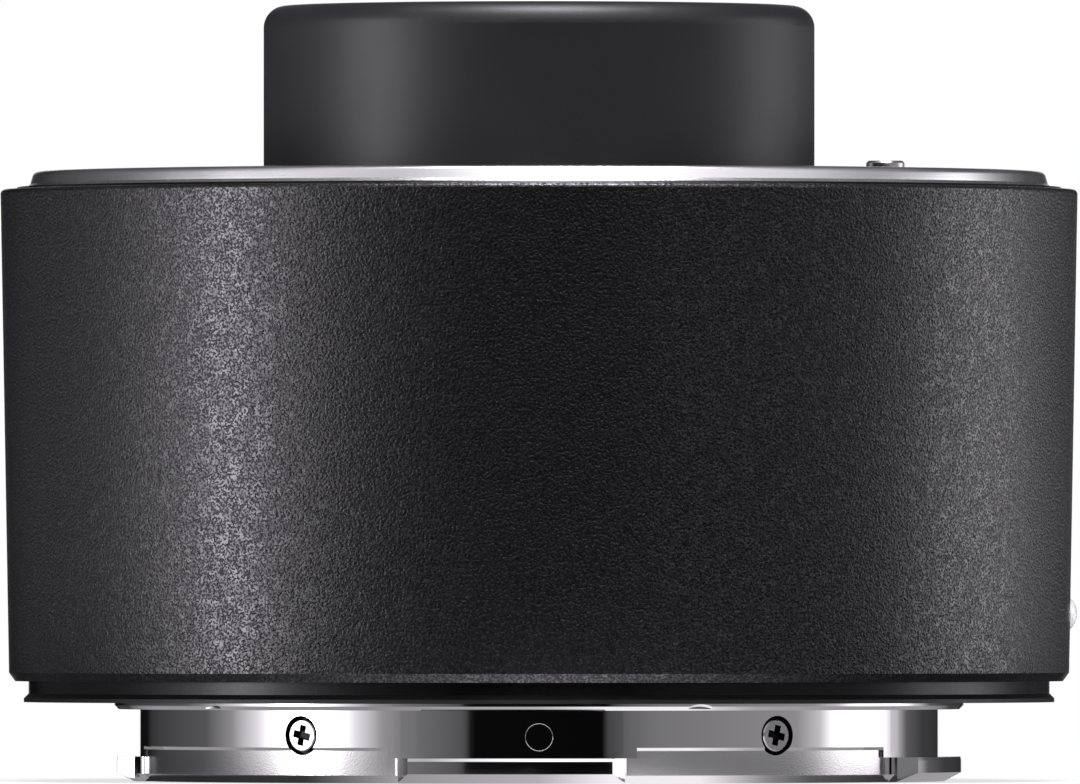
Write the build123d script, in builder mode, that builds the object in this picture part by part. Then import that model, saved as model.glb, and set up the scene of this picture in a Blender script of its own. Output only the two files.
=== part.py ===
from build123d import *
import os
from math import copysign, cos, degrees, radians, sin, sqrt

os.makedirs("parts", exist_ok=True)

# A teleconverter: a short lens that goes between a camera and its lens. All lengths are in
# millimetres. The optical axis is Z, the camera end stands on z = 0 and the lens end is up.
# Azimuths are in degrees round the axis from +X towards +Y. The contacts are at -90 degrees.

# Sizes that set the whole object
throat_diameter = 51.6        # inside of a mount that takes this bayonet
tube_length = 4.65            # bayonet tab ends to the face that meets the camera
flange_distance = 34.65       # camera's face to the lens's face
neck_rise = 10.7              # neck above the lens's face
body_taper = 0.55             # radial growth of the barrel from its foot to its top
front_azimuth = -90
lock_azimuth = 40.1           # lock pin, its hole and the release knob

# Clearances shared by all pieces
running_gap = 0.05            # radial, between pieces that slide or turn on each other
seat_gap = 0.1                # radial, between fixed pieces that drop into one another
thread_gap = 0.02             # radial, screw in its tapped hole
screw_gap = 0.15              # radial, screw in its clear hole
cut_over = 1.0                # overrun of every cut

# Camera-side bayonet
tube_wall = 1.75
tab_reach = 1.5
tab_thickness = 1.55
tab_top_chamfer = 0.22
tab_corner = 1.0              # cut off the tabs' upright outer edges
tab_end_chamfer = 1.1
tab_end_rise = 0.6
tube_mouth_chamfer = 0.3
milled_depth = 0.2            # gaps between the tabs are milled into the tube
milled_rise = 0.5
milled_corner = 0.5
milled_end = 2                # degrees, from a tab to the taller part of a gap
milled_edge = 0.2
land_reach = 1.65
land_height = 0.6
land_chamfer = 0.25
rear_flange_thickness = 1.5
rear_flange_chamfer = 0.2
shim_thickness = 0.1
shim_lock_gap = 0.5           # radial, shim clear of the lock hole
lock_hole_radius = 1.4
lock_hole_depth = rear_flange_thickness
tabs = ((-94, 32), (-5, 48), (86, 32), (175, 24))     # centre and width in degrees
lock_turn = 45                # turn from putting a lens in to locking it

# Lens-side mount ring and the trim round it
tab_way_gap = 0.35            # lens tabs to the gaps that let them in
tab_way_margin = 2            # degrees, each side of a lens tab
mount_wall = 5.25
ring_height = 2.9
ring_base_height = 0.8
ring_base_inset = 0.25
ring_cone_height = 0.9
ring_cone_width = 0.25
ring_edge_radius = 0.45
ring_line_width = 0.06
ring_line_depth = 0.05
ring_line_drop = 0.82
ring_mouth_chamfer = 0.3
trim_width = 0.9
trim_height = 1.1
trim_chamfer = 0.15
spring_thickness = 0.25
spring_finger_reach = 1.55
spring_finger_width = 15      # degrees

# Outer barrel
mouth_wall = 0.9
barrel_wall = 1.2
barrel_top_drop = 1.15        # barrel's top face below the lens's face
barrel_edge_radius = 0.3
barrel_ledge_height = 1.5
barrel_rim_height = 1.5
barrel_rim_width = 1.0
barrel_foot_rise = 0.55
barrel_foot_chamfer = 0.4
index_radius = 1.0
index_height = 10.8
index_depth = 0.9
index_proud = 0.45
front_index_radius = 0.7
front_index_depth = 0.4
front_index_drop = 2.35       # its centre below the lens's face
front_index_proud = 0.08

# Seal ring and rear cover
seal_set_back = 0.45          # seal's lip above the camera's face
seal_lip_height = 0.25
seal_height = 0.55
seal_lip_reach = 0.31
seal_key_width = 0.4
seal_key_height = 0.4
seal_key_inset = 0.45
cover_inset = 1.27            # cover's rim inside the barrel's foot
cover_rim_height = 0.8
cover_register_wall = 0.3
cover_plate = 1.4
cover_plate_reach = 3.0       # plate's opening inside the tube's bore

# Chassis
release_space = 1.5           # between chassis and barrel, for the lens release
chassis_top_flange = 1.25
chassis_flange_reach = 0.95
chassis_ledge = 0.6           # step in the bore that carries the light shield
chassis_bore_gap = 0.2
shield_drop = 5.1             # shield's top face below the lens's face
shield_thickness = 0.6
web_drop = 9.3                # web's top face below the lens's face
web_thickness = 3.0
web_reach = 3.7               # web's opening inside the chassis bore
recess_height = 6.5
recess_drop = 18.8            # recess's top below the lens's face
recess_depth = 2.2
recess_rib = 18               # degrees, left full behind the lock pin

# Mount screws, M2 countersunk
mount_screw_radius = 1.0
mount_screw_head = 1.9
mount_screw_length = 6.0
mount_screw_count = 5
front_screw_inset = 1.5       # screw circles inside the chassis's outer wall
rear_screw_inset = 1.9
cross_reach_share = 0.62      # of the head's radius
cross_width_share = 0.22
cross_depth_share = 0.4
cross_turn = -12               # degrees, heads seen from outside

# Small pan-head screws, M1.4
pan_radius = 0.7
pan_length = 3.0
pan_head_radius = 1.2
pan_head_height = 0.7
pan_head_round = 0.2

# Lens barrel screws, M2 pan-head
barrel_screw_radius = 1.0
barrel_screw_length = 4.0
barrel_screw_head = 1.5
barrel_screw_head_height = 1.0
barrel_screw_inset = 1.9      # from the chassis bore
barrel_screw_count = 4

# Lock pin, its spring and the release
lock_pin_radius = 1.25
lock_pin_proud = 1.0
lock_pin_foot_drop = 21.3     # pin's foot below the lens's face
lock_pin_chamfer = 0.15
lock_collar_radius = 1.9
lock_collar_height = 0.95
lock_circle_inset = 2.0       # lock pin inside the chassis's outer wall
lock_window_radial = 2.0      # from the pin's axis towards the bore
lock_window_width = 4.4
lock_window_height = 11.0
lock_window_drop = 8.3        # window's top below the lens's face
lock_blind_depth = 5.0
lock_spring_wire = 0.15
lock_spring_mean = 1.6
lock_spring_turns = 8
release_travel = 1.6
fork_gap = 0.05               # fork over the collar
fork_thickness = 1.0
fork_top_gap = 0.1
fork_width = 4.0
fork_throat_gap = 0.1
plate_gap = 0.15              # release plate off the chassis
plate_thickness = 0.6
plate_half_angle = 10
plate_drop = 5.3              # plate's top below the lens's face
plate_height = 11.5
plate_corner = 1.0
guide_angle = 6.2
guide_rise = 2.2              # slots' foot above the plate's foot
guide_head_radius = 1.15
guide_head_height = 0.5
guide_depth = 1.6
knob_gap = 0.25               # knob off the barrel
knob_thickness = 1.9
knob_half_angle = 10.5
knob_drop = 3.6               # knob's top below the lens's face
knob_height = 7.6
knob_corner = 1.4
knob_edge = 0.35
knob_groove_count = 5
knob_groove_width = 0.6
knob_groove_depth = 0.4
knob_margin_share = 0.2
stem_half_angle = 8
stem_height = 3.2
stem_gap = 0.2
stem_lift = 0.6               # stem's centre above the knob's centre
knob_screw_angle = 5.0
knob_screw_sink = 0.85

# Contacts
contact_count = 10
contact_pitch = 6             # degrees
contact_inset = 1.7           # contact circle inside the tube
contact_set_back = 2.75       # from a mount's face
pad_radius = 0.8
pad_proud = 0.05
block_radial = 3.6
rear_block_half_angle = 45
flex_thickness = 0.15
baffle_thickness = 0.8
baffle_window_side = 9.0      # window's sides and ends inside the tube's bore
baffle_window_end = 13.0
baffle_window_corner = 1.5
baffle_screw_inset = 1.5
block_screw_angle = 36.2
block_screw_height = 3.05
block_screw_radius = 0.6
block_screw_length = 3.4
block_screw_head = 1.05
block_screw_head_height = 0.5
block_screw_head_gap = 0.15
block_screw_sink = 0.1        # head below the tube's wall
block_screw_round = 0.1
dowel_radius = 0.9
dowel_height = 2.95
dowel_length = 2.3
dowel_round = 0.15
dowel_sink = 0.02             # its end inside the tube's wall
front_block_half_angle = 38
front_block_drop = 3.1        # block's top below the lens's face
front_block_outer_inset = 0.2
front_block_radial = 2.9
front_block_screw_angle = 34
front_block_sink = 2.6
pin_radius = 0.425
pin_tip_round = 0.2
pin_collar_radius = 0.625
pin_collar_height = 0.75
pin_shoulder_gap = 0.05
pin_guide_height = 1.0
pin_travel = 0.9              # a pin's tip goes down flush with the block
pin_spring_mean = 0.5
pin_spring_wire = 0.07
pin_spring_turns = 5
flex_tail_width = 4.4
flex_tail_gap = 0.2
front_tail_inset = 0.8        # tail inside the tube's inner radius
rear_tail_inset = 1.4

# Control board
board_thickness = 0.8
board_radial = 6.5
board_wall_gap = 0.2
board_half_angle = 70
board_boss_height = 1.7
board_boss_radius = 1.4
board_bosses = (-150, -112, -30)
connector_width = 6.0
connector_depth = 2.0
connector_height = 1.3
chip_width = 4.4
chip_depth = 3.6
chip_height = 0.9
chip_angles = (-132, -62)
capacitor_width = 1.6
capacitor_depth = 0.9
capacitor_height = 0.8
capacitor_angles = (-145, -119, -72, -50, -45, -40)
board_corner = 0.8

# Neck and its flange
neck_inset = 6.23             # neck inside the tube's bore
neck_edge_radius = 1.4
neck_flange_thickness = 2.0
neck_flange_gap = 0.1
skirt_step = 0.23
front_retainer_wall = 0.8     # wider bore at the neck's mouth
boss_radius = 1.6
boss_inset = 3.0              # bosses inside the tube's bore
boss_azimuths = (90, 200, 340)
lip_width = 2.3

# Glass: thickness along the axis, air gaps, radius of each face (+ bulges towards the lens)
rim_gap = 0.05
neck_wall = 2.62              # neck outside the front glass
cell_inset = 2.27             # rear glass inside the neck
front_recess = 1.8            # first face below the neck's mouth
glass_1 = 2.4
glass_2 = 4.6
glass_3 = 1.4
glass_4 = 4.0
glass_5 = 1.2
glass_6 = 4.6
glass_7 = 1.4
glass_8 = 4.8
glass_9 = 3.2
air_1 = 1.0
air_2 = 1.8
air_4 = 1.0
face_1 = 70.0
face_2 = 38.0
face_3 = 42.0
face_4 = -60.0
face_5 = -150.0
face_6 = -55.0
face_7 = -26.0
face_8 = 28.0
face_9 = -90.0
face_10 = -40.0
face_11 = 44.0
face_12 = -70.0
face_13 = 50.0
face_14 = -200.0
face_gauge = 17.77            # neck radius that the faces' radii are given for
stack_gauge = 34.65           # flange distance that the thicknesses and gaps are given for
land_front = 1.75             # width of the flat land round each pair of clear faces
land_middle = 2.15
land_stop = 2.65
land_rear = 2.3
land_last = 1.7
spacer_gap = 0.1              # spacer's bore outside the clear radius

# Retainers and rear lens cell
retainer_height = 1.5
retainer_bevel = 1.2
retainer_slot_width = 1.0
retainer_slot_depth = 0.5
rear_retainer_height = 1.2
cell_collar = 3.0
cell_wall = 1.45
cell_lip = 0.95
cell_lift = 0.15              # cell above the rear cover
set_screw_radius = 0.8
set_screw_rise = 1.4
set_screw_sink = 0.1
set_screw_count = 3

# Heights that follow
camera_face_z = tube_length
rear_flange_z = camera_face_z + land_height
rear_flange_top = rear_flange_z + rear_flange_thickness
cover_plate_z = rear_flange_top + shim_thickness
cover_top = cover_plate_z + cover_plate
seal_z = camera_face_z + seal_set_back
cover_rim_z = seal_z + seal_height
barrel_z = cover_rim_z + cover_rim_height
lens_face_z = camera_face_z + flange_distance
neck_top = lens_face_z + neck_rise
ring_z = lens_face_z - ring_height
chassis_top = ring_z - spring_thickness
barrel_top = lens_face_z - barrel_top_drop
shield_top = lens_face_z - shield_drop
shield_z = shield_top - shield_thickness
web_top = lens_face_z - web_drop
web_z = web_top - web_thickness
flange_top = web_top + neck_flange_thickness
board_top = web_z - board_boss_height
board_z = board_top - board_thickness

# Radii that follow, from the throat outwards
tube_radius = throat_diameter / 2 - running_gap
tube_bore = tube_radius - tube_wall
tab_radius = tube_radius + tab_reach
tab_way_radius = tab_radius + tab_way_gap
land_radius = tube_radius + land_reach
ring_radius = tab_way_radius + mount_wall
trim_bore = ring_radius + running_gap
trim_radius = trim_bore + trim_width
mouth_radius = trim_radius + running_gap
body_radius = mouth_radius + mouth_wall
foot_radius = body_radius - body_taper
barrel_bore = foot_radius - barrel_wall
barrel_rim = barrel_bore - barrel_rim_width
cover_rim = foot_radius - cover_inset
cover_opening = tube_bore - cover_plate_reach
cover_register = barrel_rim - running_gap
cover_bore = cover_register - cover_register_wall
rear_flange_radius = cover_bore - running_gap
chassis_radius = barrel_bore - release_space
chassis_flange = chassis_radius + chassis_flange_reach
chassis_bore_top = tab_way_radius + chassis_bore_gap
chassis_bore = chassis_bore_top - chassis_ledge
web_opening = chassis_bore - web_reach
front_screw_circle = chassis_radius - front_screw_inset
rear_screw_circle = chassis_radius - rear_screw_inset
lock_circle = chassis_radius - lock_circle_inset
contact_circle = tube_bore - contact_inset
neck_radius = tube_bore - neck_inset
stack = flange_distance / stack_gauge
boss_circle = tube_bore - boss_inset
front_glass_radius = neck_radius - neck_wall
rear_glass_radius = neck_radius - cell_inset
clear_front = front_glass_radius - land_front
clear_middle = front_glass_radius - land_middle
clear_stop = front_glass_radius - land_stop
clear_rear = rear_glass_radius - land_rear
clear_last = rear_glass_radius - land_last

SUNK = (Align.CENTER, Align.CENTER, Align.MAX)
PROUD = (Align.CENTER, Align.CENTER, Align.MIN)


# Helpers
def around(radius, azimuth, height):
    """Point at a radius and azimuth from the optical axis."""
    return Vector(radius * cos(radians(azimuth)), radius * sin(radians(azimuth)), height)


def spot(radius, azimuth, height, facing=1):
    """Plane at a point round the axis that faces up, or down where facing is -1."""
    out = around(1, azimuth, 0)
    return Plane(origin=around(radius, azimuth, height), x_dir=out, z_dir=(0, 0, facing))


def radial(radius, azimuth, height):
    """Plane that faces away from the optical axis, its x along the tangent and its y up."""
    out = around(1, azimuth, 0)
    along = around(1, azimuth + 90, 0)
    return Plane(origin=around(radius, azimuth, height), x_dir=along, z_dir=out)


def sector(inner, outer, centre, width):
    """Ring sector in the sketch in hand, its centre and width in degrees."""
    with BuildLine() as rim:
        low = CenterArc((0, 0), inner, centre - width / 2, width)
        high = CenterArc((0, 0), outer, centre - width / 2, width)
        Line(low @ 0, high @ 0)
        Line(low @ 1, high @ 1)
    make_face(rim.edges())


def sector_block(inner, outer, centre, width, bottom, top, mode=Mode.ADD):
    """Ring sector with a height, added to the part in hand or cut from it."""
    with BuildSketch(Plane.XY.offset(bottom)) as plan:
        sector(inner, outer, centre, width)
    extrude(plan.sketch, amount=top - bottom, mode=mode)


def ring_block(inner, outer, bottom, top, mode=Mode.ADD):
    """Plain ring round the optical axis, added to the part in hand or cut from it."""
    with BuildSketch(Plane.XY.offset(bottom)) as plan:
        Circle(outer)
        Circle(inner, mode=Mode.SUBTRACT)
    extrude(plan.sketch, amount=top - bottom, mode=mode)


def cross_recess(head_radius):
    """Cross recess cut down from the places in hand."""
    reach = cross_reach_share * head_radius * 2
    width = cross_width_share * head_radius * 2
    depth = cross_depth_share * head_radius
    for turn in (cross_turn, cross_turn + 90):
        Box(reach, width, depth, rotation=(0, 0, turn), align=SUNK, mode=Mode.SUBTRACT)


def countersunk(head_radius, shank_radius, length):
    """Countersunk screws whose heads are flush with the places in hand."""
    Cylinder(shank_radius, length, align=SUNK)
    Cone(shank_radius, head_radius, head_radius - shank_radius, align=SUNK)
    cross_recess(head_radius)


def pan_head(head_radius, head_height, shank_radius, length, edge_round):
    """Pan-head screws whose heads sit on the places in hand."""
    Cylinder(shank_radius, length, align=SUNK)
    Cylinder(head_radius, head_height - edge_round, align=PROUD)
    with Locations((0, 0, head_height - edge_round)):
        Cone(head_radius, head_radius - edge_round, edge_round, align=PROUD)
    with Locations((0, 0, head_height)):
        cross_recess(head_radius)


def hole(radius, depth):
    """Round hole cut down from the places in hand, with its overrun above them."""
    with Locations((0, 0, cut_over)):
        Cylinder(radius, depth + cut_over, align=SUNK, mode=Mode.SUBTRACT)


def spring(mean_radius, wire_radius, height, turns):
    """Coil spring that stands on z = 0, its height measured over the wire."""
    rise = height - 2 * wire_radius
    with BuildPart() as coil:
        with BuildLine(Plane.XY.offset(wire_radius)) as path:
            Helix(rise / turns, rise, mean_radius)
        with BuildSketch(Plane(origin=path.line @ 0, z_dir=path.line % 0)):
            Circle(wire_radius)
        sweep()
    return coil.part


def sag(face, height):
    """Depth of a spherical face at a height from the axis, negative where it is hollow."""
    return face - copysign(sqrt(face**2 - height**2), face)


def bulge(face, height):
    """Depth of a glass face at a height. The depth keeps its share of the stack's length."""
    return sag(face * (neck_radius / face_gauge) ** 2 / stack, height)


def glass(top, bottom, upper, lower, clear, rim):
    """Lens element with two spherical faces, and flat lands from the clear radius to the rim."""
    middle = clear / 2
    top_land = top - bulge(upper, clear)
    bottom_land = bottom - bulge(lower, clear)
    with BuildPart() as element:
        with BuildSketch(Plane.XZ):
            with BuildLine():
                ThreePointArc((0, top), (middle, top - bulge(upper, middle)), (clear, top_land))
                Polyline((clear, top_land), (rim, top_land), (rim, bottom_land), (clear, bottom_land))
                ThreePointArc((clear, bottom_land), (middle, bottom - bulge(lower, middle)), (0, bottom))
                Line((0, bottom), (0, top))
            make_face()
        revolve(axis=Axis.Z)
    return element


def barrel_radius(height):
    """Outer radius of the barrel's straight taper at a height."""
    foot = barrel_z + barrel_foot_rise
    return foot_radius + body_taper * (height - foot) / (barrel_top - foot)


# Places of the screws
half_pitch = 180 / mount_screw_count
mount_screw_azimuths = [lock_azimuth + half_pitch * (2 * i + 1) for i in range(mount_screw_count)]
rear_screw_spots = [spot(rear_screw_circle, a, rear_flange_z, -1) for a in mount_screw_azimuths]
front_screw_spots = [spot(front_screw_circle, a, lens_face_z) for a in mount_screw_azimuths]
contact_angles = [front_azimuth + contact_pitch * (i - (contact_count - 1) / 2) for i in range(contact_count)]
front_side_angles = (front_azimuth - block_screw_angle, front_azimuth + block_screw_angle)

# Gaps between the tabs, as centre and width
tab_gaps = []
for (centre, width), (after, after_width) in zip(tabs, tabs[1:] + ((tabs[0][0] + 360, tabs[0][1]),)):
    start = centre + width / 2
    stop = after - after_width / 2
    tab_gaps.append(((start + stop) / 2, stop - start))

# Camera-side bayonet: tube with four tabs, the land that meets the camera, and a wide flange
milled_radius = tube_radius - milled_depth
baffle_top = cover_plate_z
baffle_z = baffle_top - baffle_thickness
rear_flex_z = baffle_z - flex_thickness
pad_z = camera_face_z - contact_set_back
block_z = pad_z + pad_proud
block_outer = tube_bore - seat_gap
block_inner = block_outer - block_radial
head_seat = tube_radius - block_screw_sink - block_screw_head_height
tab_bevel_radius = tab_radius - tab_end_chamfer

with BuildPart() as rear_bayonet:
    with BuildSketch(Plane.XZ):
        with BuildLine():
            Polyline(
                (tube_bore, tube_mouth_chamfer),
                (tube_bore + tube_mouth_chamfer, 0),
                (tab_bevel_radius, 0),
                (tab_radius, tab_end_rise),
                (tab_radius, tab_thickness - tab_top_chamfer),
                (tab_radius - tab_top_chamfer, tab_thickness),
                (tube_radius, tab_thickness),
                (tube_radius, camera_face_z),
                (land_radius - land_chamfer, camera_face_z),
                (land_radius, camera_face_z + land_chamfer),
                (land_radius, rear_flange_z),
                (rear_flange_radius - rear_flange_chamfer, rear_flange_z),
                (rear_flange_radius, rear_flange_z + rear_flange_chamfer),
                (rear_flange_radius, rear_flange_top),
                (tube_bore, rear_flange_top),
                close=True,
            )
        make_face()
    revolve(axis=Axis.Z)
    with BuildSketch(mode=Mode.PRIVATE) as tab_plan:
        for centre, width in tabs:
            sector(tube_bore, tab_radius, centre, width)
        chamfer(tab_plan.vertices().sort_by(SortBy.DISTANCE)[-2 * len(tabs):], tab_corner)
    with BuildSketch(Plane.XY.offset(-cut_over)):
        for centre, width in tabs:
            sector(tube_radius, tab_radius + cut_over, centre, width)
        add(tab_plan.sketch, mode=Mode.SUBTRACT)
    extrude(amount=cut_over + tab_thickness + milled_rise, mode=Mode.SUBTRACT)
    with BuildSketch(Plane.XY.offset(-cut_over)) as milled:
        for centre, width in tab_gaps:
            sector(milled_radius, tab_radius + cut_over, centre, width)
        fillet(milled.vertices().group_by(SortBy.DISTANCE)[0], milled_corner)
    extrude(amount=cut_over + tab_thickness, mode=Mode.SUBTRACT)
    for centre, width in tab_gaps:
        sector_block(
            milled_radius,
            tube_radius + cut_over,
            centre,
            width - 2 * milled_end,
            tab_thickness,
            tab_thickness + milled_rise,
            Mode.SUBTRACT,
        )
    milled_rims = rear_bayonet.edges().filter_by(GeomType.CIRCLE).group_by(Axis.Z)[0]
    chamfer(milled_rims.filter_by(lambda e: abs(e.radius - milled_radius) < milled_edge), milled_edge)
    with Locations(*rear_screw_spots):
        CounterSinkHole(
            mount_screw_radius + screw_gap,
            mount_screw_head + seat_gap,
            rear_flange_thickness + cut_over,
            counter_sink_angle=90,
        )
    with Locations(spot(lock_circle, lock_azimuth, rear_flange_z, -1)):
        hole(lock_hole_radius, lock_hole_depth + cut_over)
    with Locations(*[radial(head_seat, a, block_screw_height) for a in front_side_angles]):
        Cylinder(block_screw_head + block_screw_head_gap, tube_wall, align=PROUD, mode=Mode.SUBTRACT)
        Cylinder(block_screw_radius + screw_gap, tube_wall + cut_over, align=SUNK, mode=Mode.SUBTRACT)
    with Locations(radial(tube_radius, front_azimuth, dowel_height)):
        hole(dowel_radius, tube_wall + cut_over)
rear_bayonet.part.label = "rear_bayonet"
export_step(rear_bayonet.part, "parts/rear_bayonet.step")

# Shim between the bayonet's flange and the rear cover
with BuildPart() as rear_shim:
    ring_block(land_radius, rear_flange_radius, rear_flange_top, cover_plate_z)
    with Locations(*[spot(rear_screw_circle, a, cover_plate_z) for a in mount_screw_azimuths]):
        hole(mount_screw_radius + screw_gap, shim_thickness + cut_over)
    with Locations(spot(lock_circle, lock_azimuth, cover_plate_z)):
        hole(lock_hole_radius + shim_lock_gap, shim_thickness + cut_over)
rear_shim.part.label = "rear_shim"
export_step(rear_shim.part, "parts/rear_shim.step")

# Screws that hold the bayonet, the shim and the rear cover on the chassis
with BuildPart() as rear_mount_screws:
    with Locations(*rear_screw_spots):
        countersunk(mount_screw_head, mount_screw_radius, mount_screw_length)
rear_mount_screws.part.label = "rear_mount_screws"
export_step(rear_mount_screws.part, "parts/rear_mount_screws.step")

# Rear cover: rim under the barrel's foot, register inside it, plate up to the lens opening
rear_tail_y = -(tube_bore - rear_tail_inset)
with BuildPart() as rear_cover:
    with BuildSketch(Plane.XZ):
        with BuildLine():
            Polyline(
                (cover_bore, cover_rim_z),
                (cover_rim, cover_rim_z),
                (cover_rim, barrel_z),
                (cover_register, barrel_z),
                (cover_register, cover_top),
                (cover_opening, cover_top),
                (cover_opening, cover_plate_z),
                (cover_bore, cover_plate_z),
                close=True,
            )
        make_face()
    revolve(axis=Axis.Z)
    key_bore = cover_bore + seal_key_inset
    ring_block(
        key_bore - thread_gap,
        key_bore + seal_key_width + thread_gap,
        cover_rim_z - cut_over,
        cover_rim_z + seal_key_height + thread_gap,
        Mode.SUBTRACT,
    )
    with BuildSketch(Plane.XY.offset(cover_plate_z - cut_over)):
        with Locations((0, rear_tail_y)):
            Rectangle(flex_tail_width + 2 * flex_tail_gap, 2 * (flex_thickness + flex_tail_gap))
        with Locations((0, -cover_opening)):
            Rectangle(flex_tail_width + 2 * flex_tail_gap, -2 * (cover_opening + rear_tail_y))
    extrude(amount=cover_plate + 2 * cut_over, mode=Mode.SUBTRACT)
    with Locations(*[spot(rear_screw_circle, a, cover_top) for a in mount_screw_azimuths]):
        hole(mount_screw_radius + screw_gap, cover_plate + cut_over)
    baffle_screw_circle = tube_bore - baffle_screw_inset
    baffle_screw_azimuths = (90, 210, 330)
    with Locations(*[spot(baffle_screw_circle, a, cover_top) for a in baffle_screw_azimuths]):
        hole(pan_radius + thread_gap, cover_plate + cut_over)
rear_cover.part.label = "rear_cover"
export_step(rear_cover.part, "parts/rear_cover.step")

# Rubber seal ring: a flared lip towards the camera and a key that holds it in the cover's rim
with BuildPart() as seal_ring:
    seal_bore = cover_bore + running_gap
    with BuildSketch(Plane.XZ):
        with BuildLine():
            Polyline(
                (seal_bore, seal_z),
                (cover_rim + seal_lip_reach, seal_z),
                (cover_rim + seal_lip_reach, seal_z + seal_lip_height),
                (cover_rim, cover_rim_z),
                (key_bore + seal_key_width, cover_rim_z),
                (key_bore + seal_key_width, cover_rim_z + seal_key_height),
                (key_bore, cover_rim_z + seal_key_height),
                (key_bore, cover_rim_z),
                (seal_bore, cover_rim_z),
                close=True,
            )
        make_face()
    revolve(axis=Axis.Z)
seal_ring.part.label = "seal_ring"
export_step(seal_ring.part, "parts/seal_ring.step")

# Baffle: the plate with a rectangular window that is seen down the camera end
with BuildPart() as rear_baffle:
    with BuildSketch(Plane.XY.offset(baffle_z)):
        Circle(tube_bore - seat_gap)
        window_width = 2 * (tube_bore - baffle_window_side)
        window_depth = 2 * (tube_bore - baffle_window_end)
        RectangleRounded(window_width, window_depth, baffle_window_corner, mode=Mode.SUBTRACT)
        with Locations((0, rear_tail_y)):
            Rectangle(
                flex_tail_width + 2 * flex_tail_gap, 2 * (flex_thickness + flex_tail_gap), mode=Mode.SUBTRACT
            )
    extrude(amount=baffle_thickness)
    with Locations(*[spot(baffle_screw_circle, a, baffle_top) for a in baffle_screw_azimuths]):
        hole(pan_radius + screw_gap, baffle_thickness + cut_over)
rear_baffle.part.label = "rear_baffle"
export_step(rear_baffle.part, "parts/rear_baffle.step")

# Contact block inside the bayonet tube, on two radial screws and a dowel
with BuildPart() as rear_contact_block:
    sector_block(block_inner, block_outer, front_azimuth, 2 * rear_block_half_angle, block_z, rear_flex_z)
    with Locations(*[spot(contact_circle, a, rear_flex_z) for a in contact_angles]):
        hole(pad_radius, rear_flex_z - block_z + cut_over)
    with Locations(*[radial(block_outer, a, block_screw_height) for a in front_side_angles]):
        hole(block_screw_radius + thread_gap, block_radial + cut_over)
    with Locations(radial(tube_radius, front_azimuth, dowel_height)):
        hole(dowel_radius, dowel_length)
rear_contact_block.part.label = "rear_contact_block"
export_step(rear_contact_block.part, "parts/rear_contact_block.step")

# Contacts that the camera's spring pins press on
with BuildPart() as rear_contact_pads:
    with Locations(*[spot(contact_circle, a, rear_flex_z) for a in contact_angles]):
        Cylinder(pad_radius, rear_flex_z - pad_z, align=SUNK)
rear_contact_pads.part.label = "rear_contact_pads"
export_step(rear_contact_pads.part, "parts/rear_contact_pads.step")

# Radial screws and dowel that hold the contact block in the tube
with BuildPart() as contact_block_screws:
    with Locations(*[radial(head_seat, a, block_screw_height) for a in front_side_angles]):
        pan_head(
            block_screw_head,
            block_screw_head_height,
            block_screw_radius,
            block_screw_length,
            block_screw_round,
        )
contact_block_screws.part.label = "contact_block_screws"
export_step(contact_block_screws.part, "parts/contact_block_screws.step")

with BuildPart() as contact_block_dowel:
    with Locations(radial(tube_radius - dowel_sink, front_azimuth, dowel_height)):
        Cylinder(dowel_radius, dowel_length - dowel_sink, align=SUNK)
    fillet(contact_block_dowel.edges().group_by(Axis.Y)[0], dowel_round)
contact_block_dowel.part.label = "contact_block_dowel"
export_step(contact_block_dowel.part, "parts/contact_block_dowel.step")

# Chassis: the frame that both mounts, the glass and the lens release are fixed to
window_top = lens_face_z - lock_window_drop
window_z = window_top - lock_window_height
recess_top = lens_face_z - recess_drop
lock_guide_radius = lock_pin_radius + running_gap
barrel_screw_circle = chassis_bore - barrel_screw_inset
barrel_screw_azimuths = [45 + 360 / barrel_screw_count * i for i in range(barrel_screw_count)]
barrel_screw_spots = [spot(barrel_screw_circle, a, flange_top) for a in barrel_screw_azimuths]
plate_top = lens_face_z - plate_drop
plate_z = plate_top - plate_height
guide_z = plate_z + guide_rise + release_travel + pan_radius
guide_azimuths = (lock_azimuth - guide_angle, lock_azimuth + guide_angle)
plate_inner = chassis_radius + plate_gap
plate_outer = plate_inner + plate_thickness

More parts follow.
